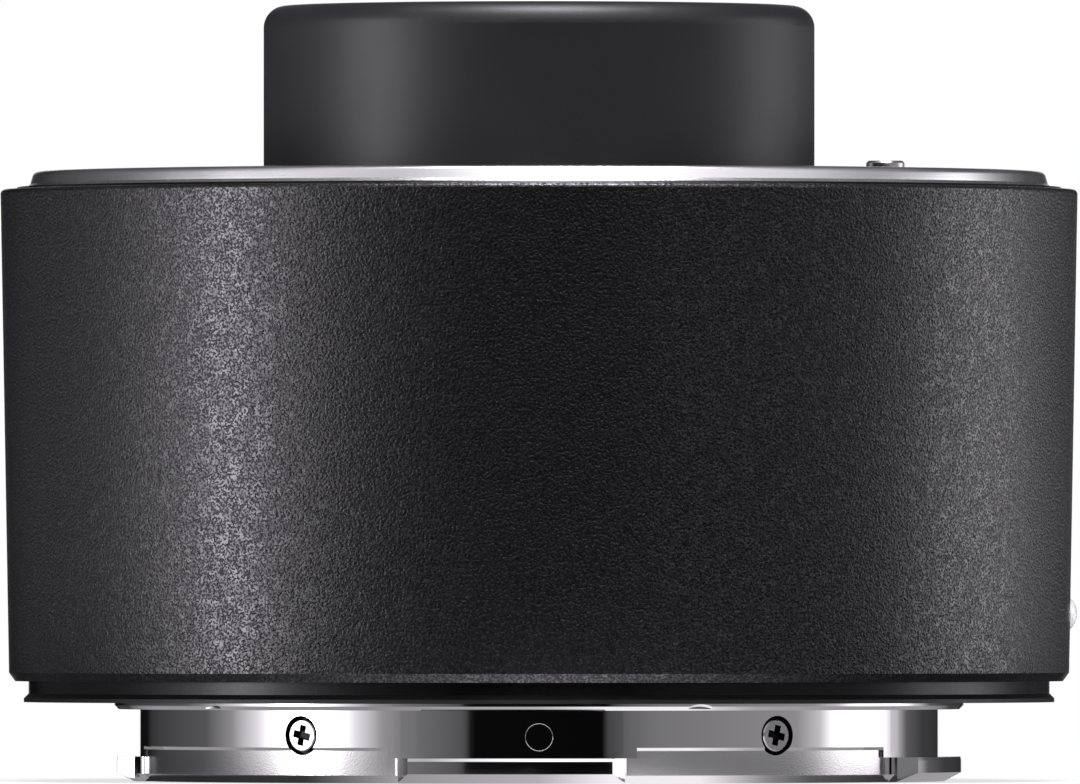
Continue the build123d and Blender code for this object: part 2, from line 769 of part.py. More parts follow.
with BuildPart() as chassis:
    with BuildSketch(Plane.XZ):
        with BuildLine():
            Polyline(
                (chassis_bore, cover_top),
                (chassis_radius, cover_top),
                (chassis_radius, chassis_top - chassis_top_flange),
                (chassis_flange, chassis_top - chassis_top_flange),
                (chassis_flange, chassis_top),
                (chassis_bore_top, chassis_top),
                (chassis_bore_top, shield_z),
                (chassis_bore, shield_z),
                (chassis_bore, web_top),
                (web_opening, web_top),
                (web_opening, web_z),
                (chassis_bore, web_z),
                close=True,
            )
        make_face()
    revolve(axis=Axis.Z)
    with Locations(*[spot(barrel_screw_circle, a, web_z, -1) for a in board_bosses]):
        Cylinder(board_boss_radius, board_boss_height, align=PROUD)
    sector_block(
        chassis_radius - recess_depth,
        chassis_radius + cut_over,
        lock_azimuth + 180,
        360 - recess_rib,
        recess_top - recess_height,
        recess_top,
        Mode.SUBTRACT,
    )
    with BuildSketch(radial(lock_circle - lock_window_radial, lock_azimuth, (window_z + window_top) / 2)):
        Rectangle(lock_window_width, lock_window_height)
    extrude(amount=lock_window_radial + lock_circle_inset + cut_over, mode=Mode.SUBTRACT)
    with Locations(spot(lock_circle, lock_azimuth, chassis_top)):
        hole(lock_guide_radius, chassis_top - window_z + lock_blind_depth)
    with Locations(*[spot(front_screw_circle, a, chassis_top) for a in mount_screw_azimuths]):
        hole(mount_screw_radius + thread_gap, mount_screw_length)
    with Locations(*[spot(rear_screw_circle, a, cover_top, -1) for a in mount_screw_azimuths]):
        hole(mount_screw_radius + thread_gap, mount_screw_length)
    with Locations(*[spot(barrel_screw_circle, a, web_top) for a in barrel_screw_azimuths]):
        hole(barrel_screw_radius + thread_gap, barrel_screw_length)
    with Locations(*[spot(barrel_screw_circle, a, board_top, -1) for a in board_bosses]):
        hole(pan_radius + thread_gap, pan_length)
    with Locations(*[radial(chassis_radius, a, guide_z) for a in guide_azimuths]):
        hole(pan_radius + thread_gap, guide_depth + seat_gap)
chassis.part.label = "chassis"
export_step(chassis.part, "parts/chassis.step")

# Outer barrel: tapered textured sleeve, held between the rear cover and the mount ring
knob_top = lens_face_z - knob_drop
knob_z = knob_top - knob_height
stem_z = (knob_top + knob_z) / 2 + stem_lift
stem_low = stem_z - stem_height / 2 - release_travel - stem_gap
stem_high = stem_z + stem_height / 2 + stem_gap
stem_gap_angle = degrees(stem_gap / barrel_bore)
index_seat = barrel_radius(index_height) - index_depth
front_index_azimuth = tabs[0][0] + lock_turn + 90
front_index_z = lens_face_z - front_index_drop
front_index_seat = barrel_radius(front_index_z) - front_index_depth

with BuildPart() as outer_barrel:
    with BuildSketch(Plane.XZ) as wall:
        with BuildLine():
            Polyline(
                (barrel_rim, barrel_z),
                (foot_radius - barrel_foot_chamfer, barrel_z),
                (foot_radius, barrel_z + barrel_foot_rise),
                (body_radius, barrel_top),
                (mouth_radius, barrel_top),
                (mouth_radius, ring_z),
                (chassis_flange + seat_gap, ring_z),
                (chassis_flange + seat_gap, ring_z - barrel_ledge_height),
                (barrel_bore, ring_z - barrel_ledge_height),
                (barrel_bore, barrel_z + barrel_rim_height),
                (barrel_rim, barrel_z + barrel_rim_height),
                close=True,
            )
        make_face()
        fillet(wall.vertices().sort_by(Axis.X)[-1], barrel_edge_radius)
    revolve(axis=Axis.Z)
    sector_block(
        barrel_bore - cut_over,
        body_radius + cut_over,
        lock_azimuth,
        2 * (stem_half_angle + stem_gap_angle),
        stem_low,
        stem_high,
        Mode.SUBTRACT,
    )
    with Locations(radial(index_seat, 0, index_height)):
        Cylinder(index_radius, index_depth + cut_over, align=PROUD, mode=Mode.SUBTRACT)
    with Locations(radial(front_index_seat, front_index_azimuth, front_index_z)):
        Cylinder(front_index_radius, front_index_depth + cut_over, align=PROUD, mode=Mode.SUBTRACT)
outer_barrel.part.label = "outer_barrel"
export_step(outer_barrel.part, "parts/outer_barrel.step")

# Index bead on the barrel's side, and the flat index dot near the lens mount
with BuildPart() as index_bead:
    with BuildSketch(Plane.XZ):
        with BuildLine():
            Line((index_seat, index_height), (index_seat, index_height + index_radius))
            shoulder = index_seat + index_depth
            Line((index_seat, index_height + index_radius), (shoulder, index_height + index_radius))
            dome_radius = (index_radius**2 + index_proud**2) / (2 * index_proud)
            dome_half = index_radius / 2
            ThreePointArc(
                (shoulder, index_height + index_radius),
                (shoulder + index_proud - sag(dome_radius, dome_half), index_height + dome_half),
                (shoulder + index_proud, index_height),
            )
            Line((shoulder + index_proud, index_height), (index_seat, index_height))
        make_face()
    revolve(axis=Axis((0, 0, index_height), (1, 0, 0)))
index_bead.part.label = "index_bead"
export_step(index_bead.part, "parts/index_bead.step")

with BuildPart() as front_index_dot:
    with Locations(radial(front_index_seat, front_index_azimuth, front_index_z)):
        Cylinder(front_index_radius, front_index_depth + front_index_proud, align=PROUD)
front_index_dot.part.label = "front_index_dot"
export_step(front_index_dot.part, "parts/front_index_dot.step")

# Lens-side mount ring, with gaps that take a lens's tabs
way_through = ring_height + 2 * cut_over
ring_base = mouth_radius - ring_base_inset
with BuildPart() as front_mount_ring:
    with BuildSketch(Plane.XZ) as section:
        throat = throat_diameter / 2
        ring_edge = ring_radius - ring_cone_width
        with BuildLine():
            Polyline(
                (throat, ring_z),
                (ring_base, ring_z),
                (ring_base, ring_z + ring_base_height),
                (ring_radius, ring_z + ring_base_height),
                (ring_radius, lens_face_z - ring_cone_height),
                (ring_edge, lens_face_z),
                (throat + ring_mouth_chamfer, lens_face_z),
                (throat, lens_face_z - ring_mouth_chamfer),
                close=True,
            )
        make_face()
        fillet(section.vertices().group_by(Axis.Y)[-1].sort_by(Axis.X)[-1], ring_edge_radius)
    revolve(axis=Axis.Z)
    for centre, width in tabs:
        sector_block(
            throat - cut_over,
            tab_way_radius,
            centre + lock_turn,
            width + 2 * tab_way_margin,
            ring_z - cut_over,
            lens_face_z + cut_over,
            Mode.SUBTRACT,
        )
    line_z = lens_face_z - ring_line_drop
    ring_block(
        ring_edge - ring_line_depth,
        ring_radius + cut_over,
        line_z - ring_line_width / 2,
        line_z + ring_line_width / 2,
        Mode.SUBTRACT,
    )
    with Locations(*front_screw_spots):
        CounterSinkHole(
            mount_screw_radius + screw_gap,
            mount_screw_head + seat_gap,
            way_through,
            counter_sink_angle=90,
        )
    with Locations(spot(lock_circle, lock_azimuth, lens_face_z)):
        hole(lock_guide_radius, way_through)
front_mount_ring.part.label = "front_mount_ring"
export_step(front_mount_ring.part, "parts/front_mount_ring.step")

with BuildPart() as front_mount_screws:
    with Locations(*front_screw_spots):
        countersunk(mount_screw_head, mount_screw_radius, mount_screw_length)
front_mount_screws.part.label = "front_mount_screws"
export_step(front_mount_screws.part, "parts/front_mount_screws.step")

# Thin black trim ring between the mount ring and the barrel
trim_z = ring_z + ring_base_height
with BuildPart() as front_trim_ring:
    with BuildSketch(Plane.XZ):
        with BuildLine():
            Polyline(
                (trim_bore, trim_z),
                (trim_radius, trim_z),
                (trim_radius, trim_z + trim_height - trim_chamfer),
                (trim_radius - trim_chamfer, trim_z + trim_height),
                (trim_bore, trim_z + trim_height),
                close=True,
            )
        make_face()
    revolve(axis=Axis.Z)
front_trim_ring.part.label = "front_trim_ring"
export_step(front_trim_ring.part, "parts/front_trim_ring.step")

# Bayonet spring: flat ring under the mount ring, its fingers pull on a lens's tabs
spring_bore = chassis_bore_top + running_gap
with BuildPart() as bayonet_spring:
    ring_block(spring_bore, chassis_flange - running_gap, chassis_top, ring_z)
    for centre, width in tabs:
        sector_block(
            spring_bore - spring_finger_reach,
            spring_bore + running_gap,
            centre,
            spring_finger_width,
            chassis_top,
            ring_z,
        )
    with Locations(*[spot(front_screw_circle, a, ring_z) for a in mount_screw_azimuths]):
        hole(mount_screw_radius + screw_gap, spring_thickness + cut_over)
    with Locations(spot(lock_circle, lock_azimuth, ring_z)):
        hole(lock_guide_radius, spring_thickness + cut_over)
bayonet_spring.part.label = "bayonet_spring"
export_step(bayonet_spring.part, "parts/bayonet_spring.step")

# Glass of the front group, down from the neck's mouth
top_1 = neck_top - front_recess
bottom_1 = top_1 - stack * glass_1
top_2 = bottom_1 - stack * air_1
top_3 = top_2 - stack * glass_2
bottom_3 = top_3 - stack * glass_3
top_4 = bottom_3 - stack * air_2
top_5 = top_4 - stack * glass_4
top_6 = top_5 - stack * glass_5
bottom_6 = top_6 - stack * glass_6

# Glass of the rear group, up from the rear cover
cell_z = cover_top + cell_lift
bottom_9 = cell_z + rear_retainer_height + bulge(face_14, clear_last)
top_9 = bottom_9 + stack * glass_9
bottom_8 = top_9 + stack * air_4
top_8 = bottom_8 + stack * glass_8
top_7 = top_8 + stack * glass_7

elements = [
    glass(top_1, bottom_1, face_1, face_2, clear_front, front_glass_radius),
    glass(top_2, top_3, face_3, face_4, clear_middle, front_glass_radius),
    glass(top_3, bottom_3, face_4, face_5, clear_middle, front_glass_radius),
    glass(top_4, top_5, face_6, face_7, clear_stop, front_glass_radius),
    glass(top_5, top_6, face_7, face_8, clear_stop, front_glass_radius),
    glass(top_6, bottom_6, face_8, face_9, clear_stop, front_glass_radius),
    glass(top_7, top_8, face_10, face_11, clear_rear, rear_glass_radius),
    glass(top_8, bottom_8, face_11, face_12, clear_rear, rear_glass_radius),
    glass(top_9, bottom_9, face_13, face_14, clear_last, rear_glass_radius),
]
for number, element in enumerate(elements, start=1):
    element.part.label = f"glass_element_{number}"
    export_step(element.part, f"parts/glass_element_{number}.step")

# Lands that the spacers, lips and retainers press on
land_1_top = top_1 - bulge(face_1, clear_front)
land_1_bottom = bottom_1 - bulge(face_2, clear_front)
land_2_top = top_2 - bulge(face_3, clear_middle)
land_3_bottom = bottom_3 - bulge(face_5, clear_middle)
land_4_top = top_4 - bulge(face_6, clear_stop)
land_6_bottom = bottom_6 - bulge(face_9, clear_stop)
land_7_top = top_7 - bulge(face_10, clear_rear)
land_8_bottom = bottom_8 - bulge(face_12, clear_rear)
land_9_top = top_9 - bulge(face_13, clear_last)
land_9_bottom = bottom_9 - bulge(face_14, clear_last)

with BuildPart() as spacer_1:
    ring_block(clear_front + spacer_gap, front_glass_radius, land_2_top, land_1_bottom)
spacer_1.part.label = "spacer_1"
export_step(spacer_1.part, "parts/spacer_1.step")

with BuildPart() as spacer_2:
    ring_block(clear_middle + spacer_gap, front_glass_radius, land_4_top, land_3_bottom)
spacer_2.part.label = "spacer_2"
export_step(spacer_2.part, "parts/spacer_2.step")

# Front lens barrel: the neck, its flange on the chassis web, and the skirt under it
front_bore = front_glass_radius + rim_gap
mouth_bore = front_bore + front_retainer_wall
skirt_radius = neck_radius + skirt_step
cell_lip_top = land_7_top + cell_lip
neck_flange_radius = chassis_bore - neck_flange_gap
front_block_top = lens_face_z - front_block_drop
front_block_outer = tube_bore - front_block_outer_inset
front_block_inner = front_block_outer - front_block_radial
front_block_z = flange_top + flex_thickness
front_tail_y = -(tube_bore - front_tail_inset)
front_block_screws = (front_azimuth - front_block_screw_angle, front_azimuth + front_block_screw_angle)
front_seat_z = front_block_top - front_block_sink
front_seat_spots = [spot(contact_circle, a, front_seat_z) for a in front_block_screws]

with BuildPart() as front_lens_barrel:
    with BuildSketch(Plane.XZ) as section:
        with BuildLine():
            Polyline(
                (front_bore - lip_width, cell_lip_top),
                (skirt_radius, cell_lip_top),
                (skirt_radius, web_top),
                (neck_flange_radius, web_top),
                (neck_flange_radius, flange_top),
                (neck_radius, flange_top),
                (neck_radius, neck_top),
                (mouth_bore, neck_top),
                (mouth_bore, land_1_top),
                (front_bore, land_1_top),
                (front_bore, land_6_bottom),
                (front_bore - lip_width, land_6_bottom),
                close=True,
            )
        make_face()
        fillet(section.vertices().group_by(Axis.Y)[-1].sort_by(Axis.X)[-1], neck_edge_radius)
    revolve(axis=Axis.Z)
    with Locations(*[spot(boss_circle, a, flange_top) for a in boss_azimuths]):
        Cylinder(boss_radius, shield_z - flange_top, align=PROUD)
    with Locations(*barrel_screw_spots):
        hole(barrel_screw_radius + screw_gap, neck_flange_thickness + cut_over)
    with Locations(*[spot(boss_circle, a, shield_z) for a in boss_azimuths]):
        hole(pan_radius + thread_gap, pan_length)
    with Locations(*[spot(contact_circle, a, flange_top) for a in front_block_screws]):
        hole(pan_radius + thread_gap, neck_flange_thickness + cut_over)
    with BuildSketch(Plane.XY.offset(web_top - cut_over)):
        with Locations((0, front_tail_y)):
            Rectangle(flex_tail_width + 2 * flex_tail_gap, flex_thickness + 2 * flex_tail_gap)
    extrude(amount=neck_flange_thickness + 2 * cut_over, mode=Mode.SUBTRACT)
front_lens_barrel.part.label = "front_lens_barrel"
export_step(front_lens_barrel.part, "parts/front_lens_barrel.step")

with BuildPart() as lens_barrel_screws:
    with Locations(*barrel_screw_spots):
        pan_head(
            barrel_screw_head,
            barrel_screw_head_height,
            barrel_screw_radius,
            barrel_screw_length,
            pan_head_round,
        )
lens_barrel_screws.part.label = "lens_barrel_screws"
export_step(lens_barrel_screws.part, "parts/lens_barrel_screws.step")

# Threaded retainer over the first element, with two slots for a spanner
with BuildPart() as front_retainer:
    retainer_bore = clear_front + spacer_gap
    retainer_top = land_1_top + retainer_height
    with BuildSketch(Plane.XZ):
        with BuildLine():
            Polyline(
                (retainer_bore, land_1_top),
                (mouth_bore - thread_gap, land_1_top),
                (mouth_bore - thread_gap, retainer_top),
                (retainer_bore + retainer_bevel, retainer_top),
                close=True,
            )
        make_face()
    revolve(axis=Axis.Z)
    with Locations((0, 0, retainer_top)):
        Box(
            retainer_slot_width,
            2 * mouth_bore,
            2 * retainer_slot_depth,
            rotation=(0, 0, lock_turn),
            mode=Mode.SUBTRACT,
        )
front_retainer.part.label = "front_retainer"
export_step(front_retainer.part, "parts/front_retainer.step")

# Rear lens cell: its collar goes over the skirt and is held by set screws
cell_bore = rear_glass_radius + rim_gap
collar_bore = skirt_radius + running_gap
cell_radius = collar_bore + cell_wall
collar_top = cell_lip_top + cell_collar
set_screw_z = cell_lip_top + set_screw_rise
set_screw_azimuths = [boss_azimuths[0] + 360 / set_screw_count * i for i in range(set_screw_count)]
with BuildPart() as rear_lens_cell:
    with BuildSketch(Plane.XZ):
        with BuildLine():
            Polyline(
                (cell_bore, cell_z),
                (cell_radius, cell_z),
                (cell_radius, collar_top),
                (collar_bore, collar_top),
                (collar_bore, cell_lip_top),
                (cell_bore - lip_width + rim_gap, cell_lip_top),
                (cell_bore - lip_width + rim_gap, land_7_top),
                (cell_bore, land_7_top),
                close=True,
            )
        make_face()
    revolve(axis=Axis.Z)
    with Locations(*[radial(cell_radius, a, set_screw_z) for a in set_screw_azimuths]):
        hole(set_screw_radius + thread_gap, cell_wall + running_gap)
rear_lens_cell.part.label = "rear_lens_cell"
export_step(rear_lens_cell.part, "parts/rear_lens_cell.step")

with BuildPart() as cell_set_screws:
    with Locations(*[radial(cell_radius - set_screw_sink, a, set_screw_z) for a in set_screw_azimuths]):
        Cylinder(set_screw_radius, cell_wall - set_screw_sink, align=SUNK)
        cross_recess(set_screw_radius)
cell_set_screws.part.label = "cell_set_screws"
export_step(cell_set_screws.part, "parts/cell_set_screws.step")

with BuildPart() as rear_spacer:
    ring_block(clear_last + spacer_gap, rear_glass_radius, land_9_top, land_8_bottom)
rear_spacer.part.label = "rear_spacer"
export_step(rear_spacer.part, "parts/rear_spacer.step")

with BuildPart() as rear_retainer:
    rear_retainer_z = land_9_bottom - rear_retainer_height
    with BuildSketch(Plane.XZ):
        with BuildLine():
            Polyline(
                (clear_last + spacer_gap, land_9_bottom),
                (cell_bore - thread_gap, land_9_bottom),
                (cell_bore - thread_gap, rear_retainer_z),
                (clear_last + spacer_gap, rear_retainer_z),
                close=True,
            )
        make_face()
    revolve(axis=Axis.Z)
    with Locations((0, 0, rear_retainer_z)):
        Box(
            retainer_slot_width,
            2 * cell_bore,
            2 * retainer_slot_depth,
            rotation=(0, 0, lock_turn),
            mode=Mode.SUBTRACT,
        )
rear_retainer.part.label = "rear_retainer"
export_step(rear_retainer.part, "parts/rear_retainer.step")

# Light shield between the neck and the chassis, cut out for the contact block
shield_slot_angle = degrees(flex_tail_gap / front_block_inner)
with BuildPart() as light_shield:
    ring_block(neck_radius + seat_gap, chassis_bore_top - seat_gap, shield_z, shield_top)
    sector_block(
        front_block_inner - flex_tail_gap,
        front_block_outer + flex_tail_gap,
        front_azimuth,
        2 * (front_block_half_angle + shield_slot_angle),
        shield_z - cut_over,
        shield_top + cut_over,
        Mode.SUBTRACT,
    )
    with Locations(*[spot(boss_circle, a, shield_top) for a in boss_azimuths]):
        hole(pan_radius + screw_gap, shield_thickness + cut_over)
light_shield.part.label = "light_shield"
export_step(light_shield.part, "parts/light_shield.step")

# Contact block behind the lens mount, with a stepped bore for each spring pin
pin_guide_z = front_block_top - pin_guide_height
with BuildPart() as front_contact_block:
    sector_block(
        front_block_inner,
        front_block_outer,
        front_azimuth,
        2 * front_block_half_angle,
        front_block_z,
        front_block_top,
    )
    with Locations(*[spot(contact_circle, a, front_block_top) for a in contact_angles]):
        hole(pin_radius + running_gap, pin_guide_height + cut_over)
    with Locations(*[spot(contact_circle, a, front_block_z, -1) for a in contact_angles]):
        hole(pin_collar_radius + running_gap, pin_guide_z - front_block_z)
    with Locations(*[spot(contact_circle, a, front_block_top) for a in front_block_screws]):
        hole(pan_head_radius + seat_gap, front_block_sink)
        hole(pan_radius + screw_gap, front_block_top - front_block_z + cut_over)
front_contact_block.part.label = "front_contact_block"
export_step(front_contact_block.part, "parts/front_contact_block.step")

# Spring-loaded contact pins
collar_top_z = pin_guide_z - pin_shoulder_gap
collar_z = collar_top_z - pin_collar_height
pin_tip = front_block_top + pin_travel
for number, azimuth in enumerate(contact_angles, start=1):
    with BuildPart() as contact_pin:
        with BuildSketch(Plane.XZ) as section:
            with BuildLine():
                Polyline(
                    (0, collar_z),
                    (pin_collar_radius, collar_z),
                    (pin_collar_radius, collar_top_z),
                    (pin_radius, collar_top_z),
                    (pin_radius, pin_tip),
                    (0, pin_tip),
                    close=True,
                )
            make_face()
            fillet(section.vertices().group_by(Axis.Y)[-1].sort_by(Axis.X)[-1], pin_tip_round)
        revolve(axis=Axis.Z)
    placed_pin = contact_pin.part.moved(Location(around(contact_circle, azimuth, 0)))
    placed_pin.label = f"contact_pin_{number:02d}"
    export_step(placed_pin, f"parts/contact_pin_{number:02d}.step")

# A coil spring under each pin
pin_spring = spring(pin_spring_mean, pin_spring_wire, collar_z - front_block_z, pin_spring_turns)
with BuildPart() as contact_springs:
    with Locations(*[spot(contact_circle, a, front_block_z) for a in contact_angles]):
        add(pin_spring)
contact_springs.part.label = "contact_springs"
export_step(contact_springs.part, "parts/contact_springs.step")

# Flex circuits: a curved foot on each contact block and a tail to the control board
front_connector_top = board_top + connector_height
with BuildPart() as front_flex:
    sector_block(
        front_block_inner + seat_gap,
        front_block_outer - seat_gap,
        front_azimuth,
        2 * front_block_half_angle,
        flange_top,
        front_block_z,
    )
    with Locations(*[spot(contact_circle, a, front_block_z) for a in front_block_screws]):
        hole(pan_radius + screw_gap, flex_thickness + cut_over)
    with Locations((0, front_tail_y, front_block_z)):
        Box(flex_tail_width, flex_thickness, front_block_z - front_connector_top, align=SUNK)
front_flex.part.label = "front_flex"
export_step(front_flex.part, "parts/front_flex.step")

rear_connector_z = board_z - connector_height
with BuildPart() as rear_flex:
    sector_block(
        block_inner + seat_gap,
        block_outer - seat_gap,
        front_azimuth,
        2 * (rear_block_half_angle - contact_pitch),
        rear_flex_z,
        baffle_z,
    )
    with Locations((0, rear_tail_y, rear_flex_z)):
        Box(flex_tail_width, flex_thickness, rear_connector_z - rear_flex_z, align=PROUD)
rear_flex.part.label = "rear_flex"
export_step(rear_flex.part, "parts/rear_flex.step")

# Control board under the chassis web, with its connectors, chips and capacitors
board_outer = chassis_bore - board_wall_gap
board_inner = board_outer - board_radial
with BuildPart() as control_board:
    with BuildSketch(Plane.XY.offset(board_z)) as outline:
        sector(board_inner, board_outer, front_azimuth, 2 * board_half_angle)
        fillet(outline.vertices(), board_corner)
    extrude(amount=board_thickness)
    with Locations(*[spot(barrel_screw_circle, a, board_top) for a in board_bosses]):
        hole(pan_radius + screw_gap, board_thickness + cut_over)
control_board.part.label = "control_board"
export_step(control_board.part, "parts/control_board.step")

board_middle = (board_inner + board_outer) / 2
with BuildPart() as board_components:
    with Locations((0, front_tail_y, board_top)):
        Box(connector_width, connector_depth, connector_height, align=PROUD)
    with Locations((0, rear_tail_y, board_z)):
        Box(connector_width, connector_depth, connector_height, align=SUNK)
    with Locations(*[spot(board_middle, a, board_z, -1) for a in chip_angles]):
        Box(chip_width, chip_depth, chip_height, align=PROUD)
    with Locations(*[spot(board_middle, a, board_top) for a in capacitor_angles]):
        Box(capacitor_width, capacitor_depth, capacitor_height, align=PROUD)
board_components.part.label = "board_components"
export_step(board_components.part, "parts/board_components.step")

# Identical pan-head screws of the board, the baffle, the shield and the front contact block
with BuildPart() as small_pan_screws:
    with Locations(
        *[spot(barrel_screw_circle, a, board_z, -1) for a in board_bosses],
        *[spot(baffle_screw_circle, a, baffle_z, -1) for a in baffle_screw_azimuths],
        *[spot(boss_circle, a, shield_top) for a in boss_azimuths],
        *front_seat_spots,
    ):
        pan_head(pan_head_radius, pan_head_height, pan_radius, pan_length, pan_head_round)
small_pan_screws.part.label = "small_pan_screws"
export_step(small_pan_screws.part, "parts/small_pan_screws.step")

# Lock pin that stops a lens from turning, with the collar that the release presses
fork_top = window_top - fork_top_gap
fork_z = fork_top - fork_thickness
lock_collar_top = fork_z - fork_gap
lock_collar_z = lock_collar_top - lock_collar_height
lock_pin_tip = lens_face_z + lock_pin_proud
with BuildPart() as lock_pin:
    with Locations(spot(lock_circle, lock_azimuth, lock_pin_tip)):
        Cylinder(lock_pin_radius, lock_pin_proud + lock_pin_foot_drop, align=SUNK)
    chamfer(lock_pin.edges().group_by(Axis.Z)[-1], lock_pin_chamfer)
    with Locations(spot(lock_circle, lock_azimuth, lock_collar_z)):
        Cylinder(lock_collar_radius, lock_collar_height, align=PROUD)
lock_pin.part.label = "lock_pin"
export_step(lock_pin.part, "parts/lock_pin.step")

lock_coil = spring(lock_spring_mean, lock_spring_wire, lock_collar_z - window_z, lock_spring_turns)
with BuildPart() as lock_pin_spring:
    with Locations(spot(lock_circle, lock_azimuth, window_z)):
        add(lock_coil)
lock_pin_spring.part.label = "lock_pin_spring"
export_step(lock_pin_spring.part, "parts/lock_pin_spring.step")

# Release plate behind the barrel: slotted on two guide screws, its fork rests over the collar
with BuildPart() as release_plate:
    sector_block(plate_inner, plate_outer, lock_azimuth, 2 * plate_half_angle, plate_z, plate_top)
    plate_corners = release_plate.edges().filter_by(lambda e: e.length < plate_corner)
    fillet(plate_corners, plate_corner)
    fork_reach = plate_inner + plate_thickness / 2 - lock_circle + lock_window_radial - fork_top_gap
    with Locations(radial(plate_inner + plate_thickness / 2, lock_azimuth, (fork_z + fork_top) / 2)):
        Box(fork_width, fork_thickness, fork_reach, align=SUNK)
    throat_radius = lock_pin_radius + fork_throat_gap
    with BuildSketch(spot(lock_circle, lock_azimuth, fork_z - cut_over)):
        Circle(throat_radius)
        with Locations((-lock_window_radial / 2 - cut_over, 0)):
            Rectangle(lock_window_radial + 2 * cut_over, 2 * throat_radius)
    extrude(amount=fork_thickness + 2 * cut_over, mode=Mode.SUBTRACT)
    slot_rise = release_travel + 2 * (pan_radius + running_gap + stem_gap)
    slot_middle = guide_z + release_travel / 2
    with BuildSketch(radial(chassis_radius, lock_azimuth - guide_angle, slot_middle)):
        SlotOverall(slot_rise, 2 * (pan_radius + running_gap), rotation=90)
    extrude(amount=plate_gap + plate_thickness + cut_over, mode=Mode.SUBTRACT)
    with BuildSketch(radial(chassis_radius, lock_azimuth + guide_angle, slot_middle)):
        SlotOverall(slot_rise, 2 * (pan_radius + running_gap), rotation=90)
    extrude(amount=plate_gap + plate_thickness + cut_over, mode=Mode.SUBTRACT)
    knob_screw_azimuths = (lock_azimuth - knob_screw_angle, lock_azimuth + knob_screw_angle)
    with Locations(*[radial(plate_outer, a, stem_z) for a in knob_screw_azimuths]):
        hole(pan_radius + thread_gap, plate_thickness + cut_over)
release_plate.part.label = "release_plate"
export_step(release_plate.part, "parts/release_plate.step")

guide_seat = plate_outer + running_gap
with BuildPart() as release_guide_screws:
    with Locations(*[radial(guide_seat, a, guide_z) for a in guide_azimuths]):
        pan_head(
            guide_head_radius,
            guide_head_height,
            pan_radius,
            guide_seat - chassis_radius + guide_depth,
            block_screw_round,
        )
release_guide_screws.part.label = "release_guide_screws"
export_step(release_guide_screws.part, "parts/release_guide_screws.step")

# Release knob on the outside of the barrel, its stem goes through the barrel's slot
knob_inner = body_radius + knob_gap
knob_outer = knob_inner + knob_thickness
knob_face = knob_outer - knob_screw_sink
groove_pitch = knob_height * (1 - 2 * knob_margin_share) / (knob_groove_count - 1)
with BuildPart() as release_knob:
    sector_block(knob_inner, knob_outer, lock_azimuth, 2 * knob_half_angle, knob_z, knob_top)
    knob_corners = release_knob.edges().filter_by(lambda e: e.length < knob_thickness + running_gap)
    fillet(knob_corners, knob_corner)
    fillet(release_knob.faces().sort_by(SortBy.AREA)[-1].edges(), knob_edge)
    sector_block(
        plate_outer,
        knob_inner + knob_gap,
        lock_azimuth,
        2 * stem_half_angle,
        stem_z - stem_height / 2,
        stem_z + stem_height / 2,
    )
    for i in range(knob_groove_count):
        groove_z = knob_z + knob_margin_share * knob_height + groove_pitch * i
        ring_block(
            knob_outer - knob_groove_depth,
            knob_outer + cut_over,
            groove_z - knob_groove_width / 2,
            groove_z + knob_groove_width / 2,
            Mode.SUBTRACT,
        )
    with Locations(*[radial(knob_face, a, stem_z) for a in knob_screw_azimuths]):
        Cylinder(pan_head_radius + seat_gap, knob_thickness, align=PROUD, mode=Mode.SUBTRACT)
        hole(pan_radius + screw_gap, knob_face - plate_outer + cut_over)
release_knob.part.label = "release_knob"
export_step(release_knob.part, "parts/release_knob.step")

with BuildPart() as knob_screws:
    with Locations(*[radial(knob_face, a, stem_z) for a in knob_screw_azimuths]):
        pan_head(pan_head_radius, pan_head_height, pan_radius, knob_face - plate_inner, pan_head_round)
knob_screws.part.label = "knob_screws"
export_step(knob_screws.part, "parts/knob_screws.step")
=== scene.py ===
# %% [markdown]
# # A camera teleconverter, dressed for its picture
#
# The object is a short black lens that goes between a camera and a long lens. Its pieces come from a
# CAD model that is already at its real size, so nothing here moves or resizes them. What Blender adds
# is the surface of each piece: wrinkled paint, satin paint, chrome, turned steel, rubber and glass,
# and the fine detail that only shows up close.
#
# The first cell loads the pieces.

# %% Load the frame
import math

import bmesh
import bpy
from mathutils import Matrix, Vector


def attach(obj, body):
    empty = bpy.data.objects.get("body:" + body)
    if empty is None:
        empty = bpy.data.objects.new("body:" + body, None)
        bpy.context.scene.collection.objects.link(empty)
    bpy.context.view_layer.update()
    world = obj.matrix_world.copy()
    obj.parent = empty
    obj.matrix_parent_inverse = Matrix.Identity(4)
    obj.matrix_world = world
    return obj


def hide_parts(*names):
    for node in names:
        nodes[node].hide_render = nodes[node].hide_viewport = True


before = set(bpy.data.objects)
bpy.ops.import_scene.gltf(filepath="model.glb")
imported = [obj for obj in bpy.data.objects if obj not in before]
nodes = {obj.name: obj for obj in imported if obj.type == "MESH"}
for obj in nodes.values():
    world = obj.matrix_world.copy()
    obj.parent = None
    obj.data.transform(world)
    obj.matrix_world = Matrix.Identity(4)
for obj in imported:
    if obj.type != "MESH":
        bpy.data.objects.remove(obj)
scene = bpy.context.scene
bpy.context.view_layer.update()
print("pieces from CAD:", len(nodes))

# %% [markdown]
# ## Camera
#
# The photograph is nearly a flat elevation: the camera stood far away with a long lens, level with
# the lower third of the barrel. A long lens keeps the sides of the barrel upright. The lens length
# follows from the distance and from how many pixels one metre takes in the picture, and the camera
# tilts up a little, so that no lens shift is needed.

